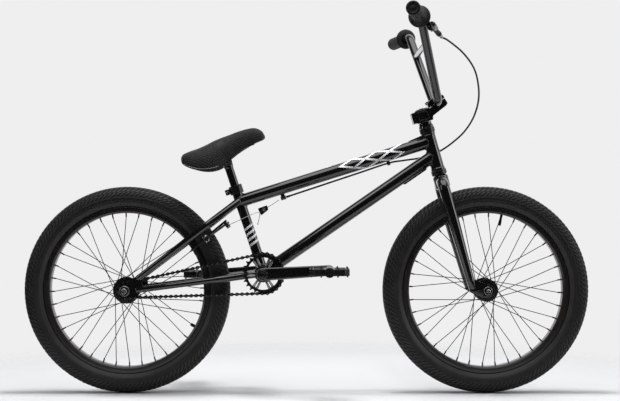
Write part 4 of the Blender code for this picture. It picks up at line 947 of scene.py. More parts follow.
def fork():
    crown = turned(
        [(0, -0.0625), (0.0150, -0.0625), (0.0170, -0.0640), (0.0195, -0.0670), (0.0190, -0.0940),
         (0.0150, -0.0975), (0, -0.0980)],
        HEAD_POINT, STEER_UP, 64, closed=False,
    )
    made = [crown, rod(steer(-0.070), steer(0.1080), 0.0127, 48)]
    axle_up = (FRONT_AXLE - HEAD_POINT).dot(STEER_UP)
    axle_forward = (FRONT_AXLE - HEAD_POINT).dot(STEER_FORWARD)
    for side in (1, -1):
        corner = rounded([
            steer(-0.0790, FORK_SETBACK, side * 0.004),
            steer(-0.0830, FORK_SETBACK, side * FORK_LEG_OUT),
            steer(-0.3560, FORK_SETBACK, side * FORK_LEG_OUT),
        ], 0.034, 12)
        bend = corner[:-1]
        last, tip = bend[-1], corner[-1]
        straight = [last.lerp(tip, i / 12) for i in range(1, 13)]
        radii = [0.0143] * len(bend) + [
            0.0143 - 0.0048 * max(0, i / 12 - 0.35) / 0.65 for i in range(1, 13)
        ]
        made.append(sweep(bend + straight, radii, 40, domed=True))
        plane = frame_at(steer(axle_up, axle_forward, side * 0.0528), STEER_FORWARD, -ACROSS)
        outline = (
            [(-axle_forward - 0.0115, 0.036), (-axle_forward - 0.0115, 0.010), (-0.018, -0.012)]
            + arc(0.0160, radians(-110), radians(75), 16)
            + [(-axle_forward + 0.0065, 0.036)]
        )
        made.append(plate([soft(outline, 0.004), ring(0.0053, 24)], 0.005, plane, 0.0007))
    crown_bar = (steer(-0.098), steer(-0.060), 0.0193)
    for side in (1, -1):
        made.append(weld(steer(-0.0812, FORK_SETBACK, side * 0.035),
                         steer(-0.0800, FORK_SETBACK, side * 0.010), 0.0143, crown_bar, 0.0020, 24))
    piece("fork", "fork", made, "gloss_black")


def stem():
    cover = turned([(0.0195, 0.0624), (0.0134, 0.0624), (0.0134, 0.0757), (0.0165, 0.0757),
                    (0.0165, 0.0700), (0.0180, 0.0680)], HEAD_POINT, STEER_UP, 64, edge=0.0008)
    piece("headset_cover", "fork", [cover], "gloss_black")

    clamp_up = (BAR_CLAMP - HEAD_POINT).dot(STEER_UP)
    clamp_forward = (BAR_CLAMP - HEAD_POINT).dot(STEER_FORWARD)
    rise = radians(18)
    plane = frame_at(HEAD_POINT, STEER_FORWARD, -ACROSS)
    normal = -STEER_FORWARD * sin(rise) + STEER_UP * cos(rise)
    arm = STEER_FORWARD * cos(rise) + STEER_UP * sin(rise)

    def by_bar(along_arm, above):
        return (
            clamp_forward + along_arm * cos(rise) - above * sin(rise),
            clamp_up + along_arm * sin(rise) + above * cos(rise),
        )

    def cradle(start, end):
        """The bar's seat, as an arc round its centre from one side to the other."""
        return [by_bar((BAR_RADIUS + 0.0004) * cos(a), (BAR_RADIUS + 0.0004) * sin(a))
                for a in (start + (end - start) * i / 16 for i in range(17))]

    outline = (
        soft([(-0.0200, 0.0765), (0.0200, 0.0765), (0.0225, 0.0860), by_bar(0.0160, -0.0185),
              by_bar(0.0225, -0.0150), by_bar(0.0225, -0.0008)], 0.003, closed=False)
        + cradle(0, -pi)
        + soft([by_bar(-0.0225, -0.0008), (0.0160, 0.1085), (-0.0200, 0.1085)], 0.003, closed=False)
    )
    made = [plate([outline], STEM_WIDTH, plane, 0.0014, 3)]
    lug = soft([(-0.0170, 0.0785), (-0.0300, 0.0785), (-0.0300, 0.1065), (-0.0170, 0.1065)], 0.0015)
    for side in (1, -1):
        shifted = Matrix.Translation(ACROSS * side * 0.0125) @ plane
        made.append(plate([lug], 0.0190, shifted, 0.0016, 3))
    for height in (0.0855, 0.0995):
        for side in (1, -1):
            made += bolt(steer(height, -0.0245, side * 0.0218), ACROSS * side, 0.0040, 0.0022,
                         look="black_steel")
    made.append(turned([(0, 0.1086), (0.0165, 0.1086), (0.0165, 0.1100), (0.0140, 0.1116), (0, 0.1116)],
                       HEAD_POINT, STEER_UP, 48, False, 0.0004))
    made += bolt(steer(0.1112), STEER_UP, 0.0050, 0.0020)
    window = soft([(-0.0135, 0.0835), (0.0080, 0.0835), (0.0080, 0.1010), (-0.0135, 0.1010)], 0.002)
    frame_line = soft([(-0.0165, 0.0805), (0.0110, 0.0805), (0.0110, 0.1040), (-0.0165, 0.1040)], 0.003)
    for side in (1, -1):
        raised = Matrix.Translation(ACROSS * side * (STEM_WIDTH / 2)) @ plane
        made.append(plate([frame_line, window], 0.0016, raised, 0.0005))
    piece("stem", "fork", made, "gloss_black")

    cap_outline = (
        soft([by_bar(0.0235, 0.0005), by_bar(0.0235, 0.0090), by_bar(0.0120, 0.0165),
              by_bar(-0.0120, 0.0165), by_bar(-0.0235, 0.0090), by_bar(-0.0235, 0.0005)], 0.003,
             closed=False)
        + cradle(pi, 0)
    )
    cap = [plate([cap_outline], STEM_WIDTH, plane, 0.0014, 3)]
    for reach in (-0.0185, 0.0185):
        for across in (-0.0165, 0.0165):
            foot = BAR_CLAMP + arm * reach + ACROSS * across + normal * 0.0105
            cap += bolt(foot, normal, 0.0042, 0.0062)
    piece("stem_bar_cap", "fork", cap, "gloss_black")


def handlebar():
    corner = GRIP_INNER.lerp(GRIP_OUTER, -0.27)
    grip_line = (GRIP_OUTER - GRIP_INNER).normalized()
    side = [Vector((BAR_CLAMP.x, 0.030, BAR_CLAMP.z)),
            Vector((BAR_CLAMP.x - 0.001, 0.056, BAR_CLAMP.z + 0.003)), corner,
            GRIP_OUTER - grip_line * 0.004]
    half = rounded(side, 0.032, 12)
    other = [Vector((p.x, -p.y, p.z)) for p in reversed(half)]
    low, high = side[1], corner
    cross = low.lerp(high, (0.868 - low.z) / (high.z - low.z))
    opposite = Vector((cross.x, -cross.y, cross.z))
    riser = (low, high, BAR_RADIUS)
    mirror_riser = (Vector((low.x, -low.y, low.z)), Vector((high.x, -high.y, high.z)), BAR_RADIUS)
    middle = (cross + opposite) / 2
    made = [
        sweep(other + half, BAR_RADIUS, 40),
        mitred(opposite, cross, 0.0080, mirror_riser, riser),
        weld(middle, cross, 0.0080, riser, 0.0016, 20),
        weld(middle, opposite, 0.0080, mirror_riser, 0.0016, 20),
    ]
    piece("handlebar", "fork", made, "gloss_black")

    length = (GRIP_OUTER - GRIP_INNER).length
    bore = BAR_RADIUS + 0.0012
    ribs = []
    number = 30
    for i in range(number):
        at = 0.0120 + (length - 0.0200) * i / number
        width = (length - 0.0200) / number
        ribs += [(0.0150, at + width * 0.05), (0.0167, at + width * 0.22),
                 (0.0167, at + width * 0.62), (0.0150, at + width * 0.80)]
    profile = (
        [(bore, 0), (0.0255, 0), (0.0265, 0.0010), (0.0265, 0.0034), (0.0250, 0.0046),
         (0.0175, 0.0070), (0.0160, 0.0090)] + ribs
        + [(0.0165, length - 0.0062), (0.0168, length - 0.0050), (0.0168, length - 0.0012),
           (0.0150, length), (0.0110, length), (0.0100, length - 0.0008), (0.0060, length - 0.0008),
           (0.0050, length - 0.0002), (0, length - 0.0002), (0, length - 0.0035),
           (bore, length - 0.0035)]
    )
    grip = turned(profile, GRIP_INNER, grip_line, 48)
    piece("grip_left", "fork", [grip], "grip_rubber", angle=50)
    piece("grip_right", "fork", mirrored([grip]), "grip_rubber", angle=50)


# Drive

SPROCKET_TEETH = 25
DRIVER_TEETH = 9


def pitch_radius(teeth):
    return CHAIN_PITCH / 2 / sin(pi / teeth)


def chain_run():
    """The chain's pins: (point, heading) at equal steps round the loop, in the side plane."""
    big, small = pitch_radius(SPROCKET_TEETH), pitch_radius(DRIVER_TEETH)
    between = BB_CENTRE - REAR_AXLE
    reach = hypot(between.x, between.z)
    heading = atan2(between.z, between.x)
    wrap = acos((big - small) / reach)
    straight = sqrt(reach ** 2 - (big - small) ** 2)
    front, back = 2 * wrap * big, 2 * (pi - wrap) * small
    total = front + back + 2 * straight
    pins = []
    for number in range(CHAIN_LINKS):
        s = total * number / CHAIN_LINKS
        if s < front:
            angle = heading - wrap + s / big
            pins.append(BB_CENTRE + towards(angle) * big)
            continue
        s -= front
        away = towards(heading + wrap)
        if s < straight:
            pins.append((BB_CENTRE + away * big).lerp(REAR_AXLE + away * small, s / straight))
            continue
        s -= straight
        if s < back:
            angle = heading + wrap + s / small
            pins.append(REAR_AXLE + towards(angle) * small)
            continue
        s -= back
        away = towards(heading - wrap)
        pins.append((REAR_AXLE + away * small).lerp(BB_CENTRE + away * big, s / straight))
    return [pin + ACROSS * CHAINLINE for pin in pins]


def phase_at(centre, pins, heading):
    """The angle of the pin nearest a heading, so that the teeth fall between the rollers."""
    angles = [atan2(p.z - centre.z, p.x - centre.x) for p in pins]
    return min(angles, key=lambda a: abs(remainder(a - heading, TAU)))


def toothed(teeth, phase):
    """Round roller seats and hooked teeth; a seat is centred on the phase angle."""
    pitch = pitch_radius(teeth)
    step = TAU / teeth
    points = []
    for tooth in range(teeth):
        middle = phase + step * tooth
        seat = (pitch * cos(middle), pitch * sin(middle))
        points += arc(0.0041, middle + radians(232), middle + radians(128), 6, seat)
        crest = middle + step / 2
        points += [((pitch + 0.0024) * cos(crest + t), (pitch + 0.0024) * sin(crest + t))
                   for t in (-0.05 * step, 0.05 * step)]
    return points


def sprocket(pins):
    phase = phase_at(BB_CENTRE, pins, 0)
    outlines = [toothed(SPROCKET_TEETH, phase)]
    for arm in range(6):
        middle = radians(60 * arm)
        turn = Matrix.Rotation(middle, 2)
        far = radians(60) - asin(0.0082 / 0.0405)
        near = radians(60) - asin(0.0062 / 0.0205)
        window = (
            arc(0.0405, middle + asin(0.0082 / 0.0405), middle + far, 10)
            + arc(0.0205, middle + near, middle + asin(0.0062 / 0.0205), 5)
        )
        outlines.append(soft(window, 0.002))
        slot = [turn @ Vector(p) for p in capsule((0.0245, 0), 0.0011, (0.0375, 0), 0.0016, 6)]
        outlines.append([tuple(p) for p in slot])
    outlines.append(ring(0.0098, 32))
    plane = frame_at(BB_CENTRE + ACROSS * CHAINLINE, AHEAD, -ACROSS)
    made = [plate(outlines, 0.0026, plane, 0.0004)]
    bars = []
    for arm in range(6):
        turn = Matrix.Rotation(-radians(60 * arm), 4, "Y")
        for across in (-1, 1):
            start = Vector((0.0200, 0, across * 0.0038))
            end = Vector((0.0400, 0, across * 0.0052))
            path = [start.lerp(end, i / 6) for i in range(7)]
            radii = [0.0014, 0.0022, 0.0024, 0.0025, 0.0024, 0.0022, 0.0014]
            bar = sweep(path, radii, 12)
            bar.transform(Matrix.Translation(BB_CENTRE + ACROSS * (CHAINLINE - 0.0013)) @ turn)
            bars.append((bar, "alloy"))
    hub_ring = turned([(0.0195, 0.0008), (0.0195, 0.0020), (0.0165, 0.0032), (0.0152, 0.0032),
                       (0.0152, 0.0008)],
                      BB_CENTRE + ACROSS * CHAINLINE, -ACROSS, 64, edge=0.0003)
    guard = [turned([(0.0455, -0.0022), (0.0455, 0.0022), (0.0425, 0.0022), (0.0425, -0.0022)],
                    BB_CENTRE + ACROSS * CHAINLINE, -ACROSS, 96, edge=0.0005)]
    piece("sprocket", "crankset", made + bars + [hub_ring] + guard, "graphite")


def driver(pins):
    phase = phase_at(REAR_AXLE, pins, pi)
    plane = frame_at(REAR_AXLE + ACROSS * CHAINLINE, AHEAD, -ACROSS)
    cog = plate([toothed(DRIVER_TEETH, phase), ring(0.0080, 24)], 0.0026, plane, 0.0004)
    body = turned([(0.0136, 0.0287), (0.0136, 0.0360), (0.0132, 0.0370), (0.0132, 0.0460),
                   (0.0078, 0.0460),
                   (0.0078, 0.0287)], REAR_AXLE, -ACROSS, 48, edge=0.0005)
    piece("rear_driver", "driver", [cog, body], "black_steel")


def chain(pins):
    """Inner and outer plates in turn, with a roller and a riveted pin at each joint."""
    half = CHAIN_PITCH / 2
    waist = (
        arc(0.0044, radians(42), radians(318), 12, (-half, 0))
        + [(0.0, -0.0018)] + arc(0.0044, radians(-138), radians(138), 12, (half, 0))
        + [(0.0, 0.0018)]
    )
    level = Matrix.Identity(4)
    link_plate = plate([waist], 0.0013, level, 0.0003, 1)
    roller = turned([(0.0039, -0.0016), (0.0039, 0.0016), (0.0018, 0.0016), (0.0018, -0.0016)],
                    Vector((0, 0, 0)), UP, 20, edge=0.0003)
    rivet = rod(Vector((0, 0, -0.0050)), Vector((0, 0, 0.0050)), 0.0017, 14, 0.0005)
    made = []
    for number, pin in enumerate(pins):
        following = pins[(number + 1) % CHAIN_LINKS]
        place = frame_at((pin + following) / 2, following - pin, -ACROSS)
        offset = 0.0024 if number % 2 else 0.0038
        for side in (1, -1):
            made.append(moved(link_plate, place @ Matrix.Translation((0, 0, side * offset))))
        at_pin = frame_at(pin, following - pin, -ACROSS)
        made.append(moved(roller, at_pin))
        made.append((moved(rivet, at_pin), "steel_dark"))
    piece("chain", "frame", made, "black_steel")


def crankset():
    profile = [(0, -SPINDLE_HALF), (0.0093, -SPINDLE_HALF), (0.0093, SPINDLE_HALF), (0, SPINDLE_HALF)]
    spindle = [turned(profile, BB_CENTRE, ACROSS, 48, False, 0.0004)]
    for side in (1, -1):
        out = ACROSS * side
        spindle += bolt(BB_CENTRE + out * 0.0832, out, 0.0105, 0.0038, 0.42, look="gloss_black")
    for side in (1, -1):
        cone = turned([(0.0097, 0.0338), (0.0150, 0.0338), (0.0150, 0.0343), (0.0097, 0.0343)],
                      BB_CENTRE, ACROSS * side, 32)
        spindle.append((cone, "black_steel"))
    piece("crank_spindle", "crankset", spindle, "steel_dark")
    for name, side, heading in (("right", -1, CRANK_ANGLE), ("left", 1, CRANK_ANGLE + pi)):
        pedal = BB_CENTRE + towards(heading) * CRANK_LENGTH
        plane = frame_at(BB_CENTRE + ACROSS * side * 0.0755, AHEAD, -ACROSS)
        tip = (cos(heading) * CRANK_LENGTH, sin(heading) * CRANK_LENGTH)
        arm = plate([capsule((0, 0), 0.0160, tip, 0.0135, 20)], 0.015, plane, 0.0042, 4)
        start = 0.0397 if side < 0 else 0.0345
        out = ACROSS * side
        boss = turned([(0.0098, start), (0.0150, start), (0.0150, 0.0730), (0.0098, 0.0730)],
                      BB_CENTRE, out, 64, edge=0.0006)
        face = turned([(0.0112, 0.0826), (0.0140, 0.0826), (0.0136, 0.0836), (0.0116, 0.0836)],
                      BB_CENTRE, out, 64, edge=0.0003)
        eye = turned([(0.0078, 0.0826), (0.0112, 0.0826), (0.0108, 0.0834), (0.0082, 0.0834)],
                     pedal, out, 48, edge=0.0003)
        piece(f"crank_arm_{name}", "crankset", [arm, boss, (face, "steel_dark"), eye],
              "gloss_black")
        pedal_pair(name, side, pedal)


def pedal_pair(name, side, pedal):
    out = ACROSS * side
    axis = [turned([(0, 0.0670), (0.0070, 0.0670), (0.0070, 0.0834), (0.0092, 0.0834), (0.0092, 0.0860),
                    (0.0062, 0.0868), (0.0062, 0.1815), (0, 0.1815)], pedal, out, 40, False, 0.0004)]
    piece(f"pedal_spindle_{name}", "crankset", axis, "steel_dark")

    plane = frame_at(pedal + out * PEDAL_OUT, AHEAD, UP)
    outline = soft([
        (-0.0485, -0.034), (-0.036, -0.0495), (0.036, -0.0495), (0.0485, -0.034),
        (0.0485, 0.034), (0.036, 0.0495), (-0.036, 0.0495), (-0.0485, 0.034),
    ], 0.008)
    outlines = [outline]
    for ahead in (-0.0262, 0.0262):
        for across in (-0.0235, 0.0235):
            outlines.append(soft([
                (ahead - 0.0120, across - 0.0165), (ahead + 0.0120, across - 0.0165),
                (ahead + 0.0120, across + 0.0165), (ahead - 0.0120, across + 0.0165),
            ], 0.004))
    made = [plate(outlines, 0.0165, plane, 0.0016, 3)]
    made.append(turned([(0.0079, 0.0864), (0.0115, 0.0864), (0.0125, 0.0880), (0.0118, 0.0960),
                        (0.0112, 0.1365), (0.0118, 0.1770), (0.0125, 0.1850), (0.0110, 0.1868),
                        (0.0050, 0.1868), (0.0050, 0.1856), (0, 0.1856), (0, 0.1835), (0.0079, 0.1835)],
                       pedal, out, 48, False, 0.0006))
    for ahead in (-0.0435, -0.0200, 0.0200, 0.0435):
        for across in (-0.0415, 0.0415) if abs(ahead) < 0.03 else (-0.0270, 0.0, 0.0270):
            place = pedal + out * PEDAL_OUT + AHEAD * ahead + ACROSS * across
            for face in (1, -1):
                made.append(turned(
                    [(0, 0.0074), (0.0026, 0.0074), (0.0026, 0.0088), (0.0019, 0.0096),
                     (0.0019, 0.0112), (0.0012, 0.0120), (0, 0.0120)],
                    place, UP * face, 14, False))
    for face in (1, -1):
        for edge_side in (1, -1):
            middle = pedal + out * PEDAL_OUT + AHEAD * edge_side * 0.0482
            made.append(block((0.0012, 0.040, 0.0050), frame_at(middle, AHEAD, UP), 0.0005))
    piece(f"pedal_{name}", f"pedal_{name}", made, "graphite")


# Seat

SADDLE_REAR = -0.3177
SADDLE_NOSE = -0.1050
SADDLE_END = 0.06
BASE_INSET = 0.0125
BASE_END = 0.0275
BASE_DROP = 0.0175
BASE_SKIRT = 0.62
SADDLE_STATIONS = 110
# From the rear end (0) to the nose (1): how far along, crest height, depth of skirt, half width.
SADDLE_LINES = [
    (0.00, 0.5990, 0.0100, 0.0300), (0.035, 0.6045, 0.0265, 0.0440), (0.11, 0.6115, 0.0425, 0.0590),
    (0.20, 0.6180, 0.0550, 0.0655), (0.30, 0.6275, 0.0670, 0.0660), (0.40, 0.6385, 0.0755, 0.0610),
    (0.49, 0.6465, 0.0760, 0.0500), (0.58, 0.6535, 0.0640, 0.0390), (0.67, 0.6610, 0.0560, 0.0310),
    (0.79, 0.6685, 0.0470, 0.0255), (0.88, 0.6705, 0.0380, 0.0235), (0.955, 0.6640, 0.0250, 0.0190),
    (1.00, 0.6530, 0.0100, 0.0120),
]


def saddle_section(share):
    """The saddle's crest, skirt and half width at a share of its length, on smooth lines."""
    last = len(SADDLE_LINES) - 1
    low = max(i for i in range(last) if share >= SADDLE_LINES[i][0] or i == 0)
    before, after = SADDLE_LINES[low], SADDLE_LINES[low + 1]
    span = after[0] - before[0]
    part = (share - before[0]) / span
    values = []
    for column in (1, 2, 3):
        slopes = []
        for i in (low, low + 1):
            left, right = SADDLE_LINES[max(i - 1, 0)], SADDLE_LINES[min(i + 1, last)]
            slopes.append((right[column] - left[column]) / (right[0] - left[0]) * span)
        a, b = before[column], after[column]
        values.append(
            a + slopes[0] * part + (3 * (b - a) - 2 * slopes[0] - slopes[1]) * part ** 2
            + (2 * (a - b) + slopes[0] + slopes[1]) * part ** 3
        )
    return values


def saddle_arch(share, half_inset, drop, skirt_cut, skirt_share, angles):
    """Points of one cross-section of the saddle, set in from its skin and rounded at both ends."""
    crest, skirt, half = saddle_section(share)
    near = min(1, min(share, 1 - share) / 0.035)
    dome = max(0.04, sqrt(1 - (1 - near) ** 2)) if half_inset == 0 else 1
    middle = crest - skirt * 0.62
    crest = middle + (crest - middle) * (0.35 + 0.65 * dome)
    skirt = (skirt * (0.35 + 0.65 * dome) - skirt_cut) * skirt_share
    x = SADDLE_REAR + (SADDLE_NOSE - SADDLE_REAR) * share
    return [
        Vector((x, (half - half_inset) * dome * sin(a), crest - drop - skirt * (1 - cos(a)) ** 1.4))
        for a in map(radians, angles)
    ]


def saddle_loft(depth, ends=0.0, inset=0.0, drop=0.0, skirt_share=1.0):
    """A shell of the saddle's form: its crowned top, its skirts and the hollow under them."""
    rows, vertices, faces = [], [], []
    outside = [-90 + 4.5 * i for i in range(41)]
    inside = [86 - 8.6 * i for i in range(21)]
    for station in range(SADDLE_STATIONS + 1):
        share = 0.5 - 0.5 * cos(pi * station / SADDLE_STATIONS)
        outer_share = 0.5 + (share - 0.5) * (1 - 2 * ends)
        inner_share = 0.5 + (share - 0.5) * (1 - 2 * ends - 2 * SADDLE_END)
        loop = saddle_arch(outer_share, inset, drop, 0.0, skirt_share, outside)
        loop += saddle_arch(
            inner_share, inset + depth * 0.7, drop + depth, depth * 0.9, skirt_share, inside
        )
        rows.append(len(vertices))
        vertices += loop
        count = len(loop)
    for row, following in zip(rows, rows[1:]):
        for i in range(count):
            j = (i + 1) % count
            faces.append((row + i, row + j, following + j, following + i))
    for row in (rows[0], rows[-1]):
        for i in range(20):
            faces.append((row + 2 * i, row + 2 * i + 1, row + 2 * i + 2, row + 60 - i, row + 61 - i))
    return mesh_of(vertices, faces)


def lay_flat(pad):
    """Gives the pad a flat layer for its dots: along the saddle and round it, at 45 degrees."""
    layer = pad.data.uv_layers.new(name="flat")
    for loop in pad.data.loops:
        spot = pad.data.vertices[loop.vertex_index].co
        share = min(1, max(0, (spot.x - SADDLE_REAR) / (SADDLE_NOSE - SADDLE_REAR)))
        round_from_crest = abs(spot.y) + saddle_section(share)[0] - spot.z
        layer.data[loop.index].uv = (
            (spot.x + round_from_crest) * sqrt(0.5), (spot.x - round_from_crest) * sqrt(0.5)
        )


def seat():
    foot = BB_CENTRE + SEAT_UP * 0.115
    head = BB_CENTRE + SEAT_UP * ((SEAT_PIVOT.z - BB_CENTRE.z) / SEAT_UP.z)
    neck = head - SEAT_UP * 0.006
    post = mitred(foot, neck, 0.0111, None, None, 0.0020)
    collar = turned([(0, -0.018), (0.0112, -0.018), (0.0128, -0.010), (0.0128, 0.0), (0, 0.004)],
                    head, SEAT_UP, 48, False, 0.0008)
    knuckle = turned([(0.0060, -0.0110), (0.0135, -0.0110), (0.0135, 0.0110), (0.0060, 0.0110)], head,
                     ACROSS, 48, edge=0.0012)
    pin = rod(head - ACROSS * 0.0200, head + ACROSS * 0.0200, 0.0040, 24)
    made = [post, collar, knuckle, (pin, "steel_dark")]
    for side in (1, -1):
        made += bolt(head + ACROSS * side * 0.0176, ACROSS * side, 0.0062, 0.0050, look="steel_dark")
    piece("seatpost", "seat", made, "gloss_black")

    pad = piece("saddle_pad", "saddle", [saddle_loft(0.0100)], "saddle_cloth", angle=50)
    pad.data.materials.append(LOOKS["saddle_smooth"])
    for face in pad.data.polygons:
        share = (face.center.x - SADDLE_REAR) / (SADDLE_NOSE - SADDLE_REAR)
        waist = 0.563 - 2.95 * (face.center.z - 0.600)
        if abs(share - waist) < 0.045:
            face.material_index = 1
    lay_flat(pad)

    hem = []
    for side in (1, -1):
        path = [saddle_arch(0.05 + 0.41 * i / 40, 0, 0, 0, 1, (side * 87,))[0] for i in range(41)]
        hem.append(sweep(path, 0.0011, 8, domed=True))
    piece(None, "saddle", hem, "piping", name="saddle_piping")

    ends = BASE_END / (SADDLE_NOSE - SADDLE_REAR)
    base = [saddle_loft(0.0040, ends, BASE_INSET, BASE_DROP, BASE_SKIRT)]
    for side in (1, -1):
        ear = plate(
            [soft(capsule((head.x, head.z), 0.0110, (head.x - 0.012, head.z + 0.0310), 0.0090, 16), 0.001),
             ring(0.0048, 24, (head.x, head.z))],
            0.0050, frame_at(ACROSS * side * 0.0145, AHEAD, -ACROSS), 0.0008,
        )
        base.append(ear)
    piece("saddle_base", "saddle", base, "plastic")


# Brake

def brake_arms():
    outline = [
        (0.1915, 0.0315), (0.1915, 0.0420), (0.2220, 0.0460), (0.2450, 0.0470), (0.2560, 0.0420),
        (0.2830, 0.0180), (0.3060, -0.0130), (0.3080, -0.0250), (0.2970, -0.0270),
        (0.2740, 0.0020), (0.2630, 0.0210), (0.2470, 0.0310), (0.2250, 0.0315),
    ]
    for name, side, down in (("left", 1, 0.0120), ("right", -1, 0.0180)):
        plane = frame_at(stay(0, 0, down + 0.0025), STAY_UP, STAY_DOWN)
        shape = soft([(up, -side * across) for up, across in outline], 0.006, 5)
        hole = ring(0.0052, 24, (BRAKE_PIVOT_UP, -side * BRAKE_PIVOT_OUT))
        arm = [plate([shape, hole], 0.0052, plane, 0.0012, 3)]
        anchor, anchor_top = (stay(0.3000, -side * 0.0200, d) for d in (down + 0.002, 0.0300))
        arm.append(rod(anchor, anchor_top, 0.0042, 24))
        pivot = stay(BRAKE_PIVOT_UP, side * BRAKE_PIVOT_OUT, down)
        arm.append(turned([(0.0052, -0.0012), (0.0092, -0.0012), (0.0098, 0.0000), (0.0098, 0.0060),
                           (0.0088, 0.0070), (0.0052, 0.0070)], pivot, STAY_DOWN, 40, edge=0.0004))
        arm += bolt(anchor_top, STAY_DOWN, 0.0040, 0.0030)
        coil = [
            pivot - STAY_DOWN * (0.0015 + 0.0011 * i / 16)
            + (STAY_UP * cos(TAU * i / 16) + ACROSS * sin(TAU * i / 16)) * 0.0074
            for i in range(65)
        ]
        arm.append((sweep(coil, 0.0006, 6), "steel"))
        piece(f"brake_arm_{name}", f"brake_arm_{name}", arm, "satin_black")

        pad_down = down + 0.0025
        pad_up = sqrt(0.1985 ** 2 - pad_down ** 2)
        radial = (stay(pad_up, 0, pad_down) - REAR_AXLE).normalized()
        lengthwise = radial.cross(ACROSS)
        pad_at = stay(pad_up, side * 0.0243, pad_down)
        rubber = [block((0.0080, 0.0080, 0.0400), frame_at(pad_at, radial, lengthwise), 0.0015)]
        for notch in (-0.012, 0.0, 0.012):
            ridge = frame_at(pad_at + lengthwise * notch, radial, lengthwise)
            rubber.append(block((0.0088, 0.0074, 0.0070), ridge, 0.0008))
        stud = rod(pad_at, stay(pad_up, side * 0.0330, pad_down), 0.0030, 24)
        rubber.append((stud, "steel"))
        piece(f"brake_pad_{name}", f"brake_arm_{name}", rubber, "tyre_rubber")


def brake_cable():
    rear, ahead = Vector((-0.1200, 0, 0.4585)), Vector((-0.0960, 0, 0.4705))
    line = (ahead - rear).normalized()
    plane = frame_at((rear + ahead) / 2, line, -ACROSS)
    made = [plate([soft([(-0.013, -0.011), (0.010, -0.006), (0.012, 0.006), (-0.013, 0.009)], 0.003, 5)],
                  0.006, plane, 0.0012, 3)]
    made += bolt((rear + ahead) / 2 - ACROSS * 0.003, -ACROSS, 0.0042, 0.0034, 0.5)
    end = CABLE_STOP - TOP_LINE * 0.007
    end -= (end - ahead).normalized() * 0.0055
    made.append((sweep([ahead - line * 0.004, ahead.lerp(end, 0.5), end], 0.0008, 10), "steel"))
    drops = ((0.002, -0.004), (0.0005, -0.015), (-0.003, -0.029))
    tail = [rear + Vector((reach, 0, drop)) for reach, drop in drops]
    made.append((sweep(tail, 0.0008, 10), "steel"))
    made.append((rod(tail[-1] - UP * 0.004, tail[-1] + UP * 0.001, 0.0012, 12, 0.0003), "steel"))
    for side in (1, -1):
        route = rounded([
            rear + Vector((0.004, 0, -0.001)), Vector((-0.1330, side * 0.0195, 0.4545)),
            Vector((-0.1720, side * 0.0205, 0.4360)), stay(0.3055, side * 0.0200, 0.0270),
        ], 0.012, 6)
        made.append((sweep(route, 0.0008, 10), "steel"))
    piece("brake_yoke", "yoke", made, "satin_black")


HOUSING_ROUTE = [
    (0.3272, -0.1795, 0.8783), (0.3420, -0.1720, 0.8720), (0.3800, -0.1500, 0.8450),
    (0.4100, -0.1250, 0.8090), (0.4240, -0.0980, 0.7680), (0.4260, -0.0750, 0.7300),
    (0.4160, -0.0520, 0.6920), (0.3960, -0.0300, 0.6590), (0.3690, -0.0050, 0.6330),
    (0.3440, 0.0180, 0.6150), (0.3200, 0.0290, 0.6030), (0.2850, 0.0225, 0.5945),
    (0.2450, 0.0080, 0.5885),
]


def brake_housing():
    stop = CABLE_STOP + TOP_LINE * 0.0076
    route = HOUSING_ROUTE + [CABLE_GUIDE] + [CABLE_GUIDE.lerp(stop, t) for t in (0.3, 0.65, 1)]
    path = smooth_path(route, 8)
    made = [sweep(path, 0.0023, 16)]
    ferrule = (path[-1] - path[-2]).normalized()
    made.append((rod(path[-1] - ferrule * 0.009, path[-1], 0.0028, 20, 0.0004), "black_steel"))
    sleeve = piece("brake_housing", None, made, "housing")
    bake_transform(sleeve)


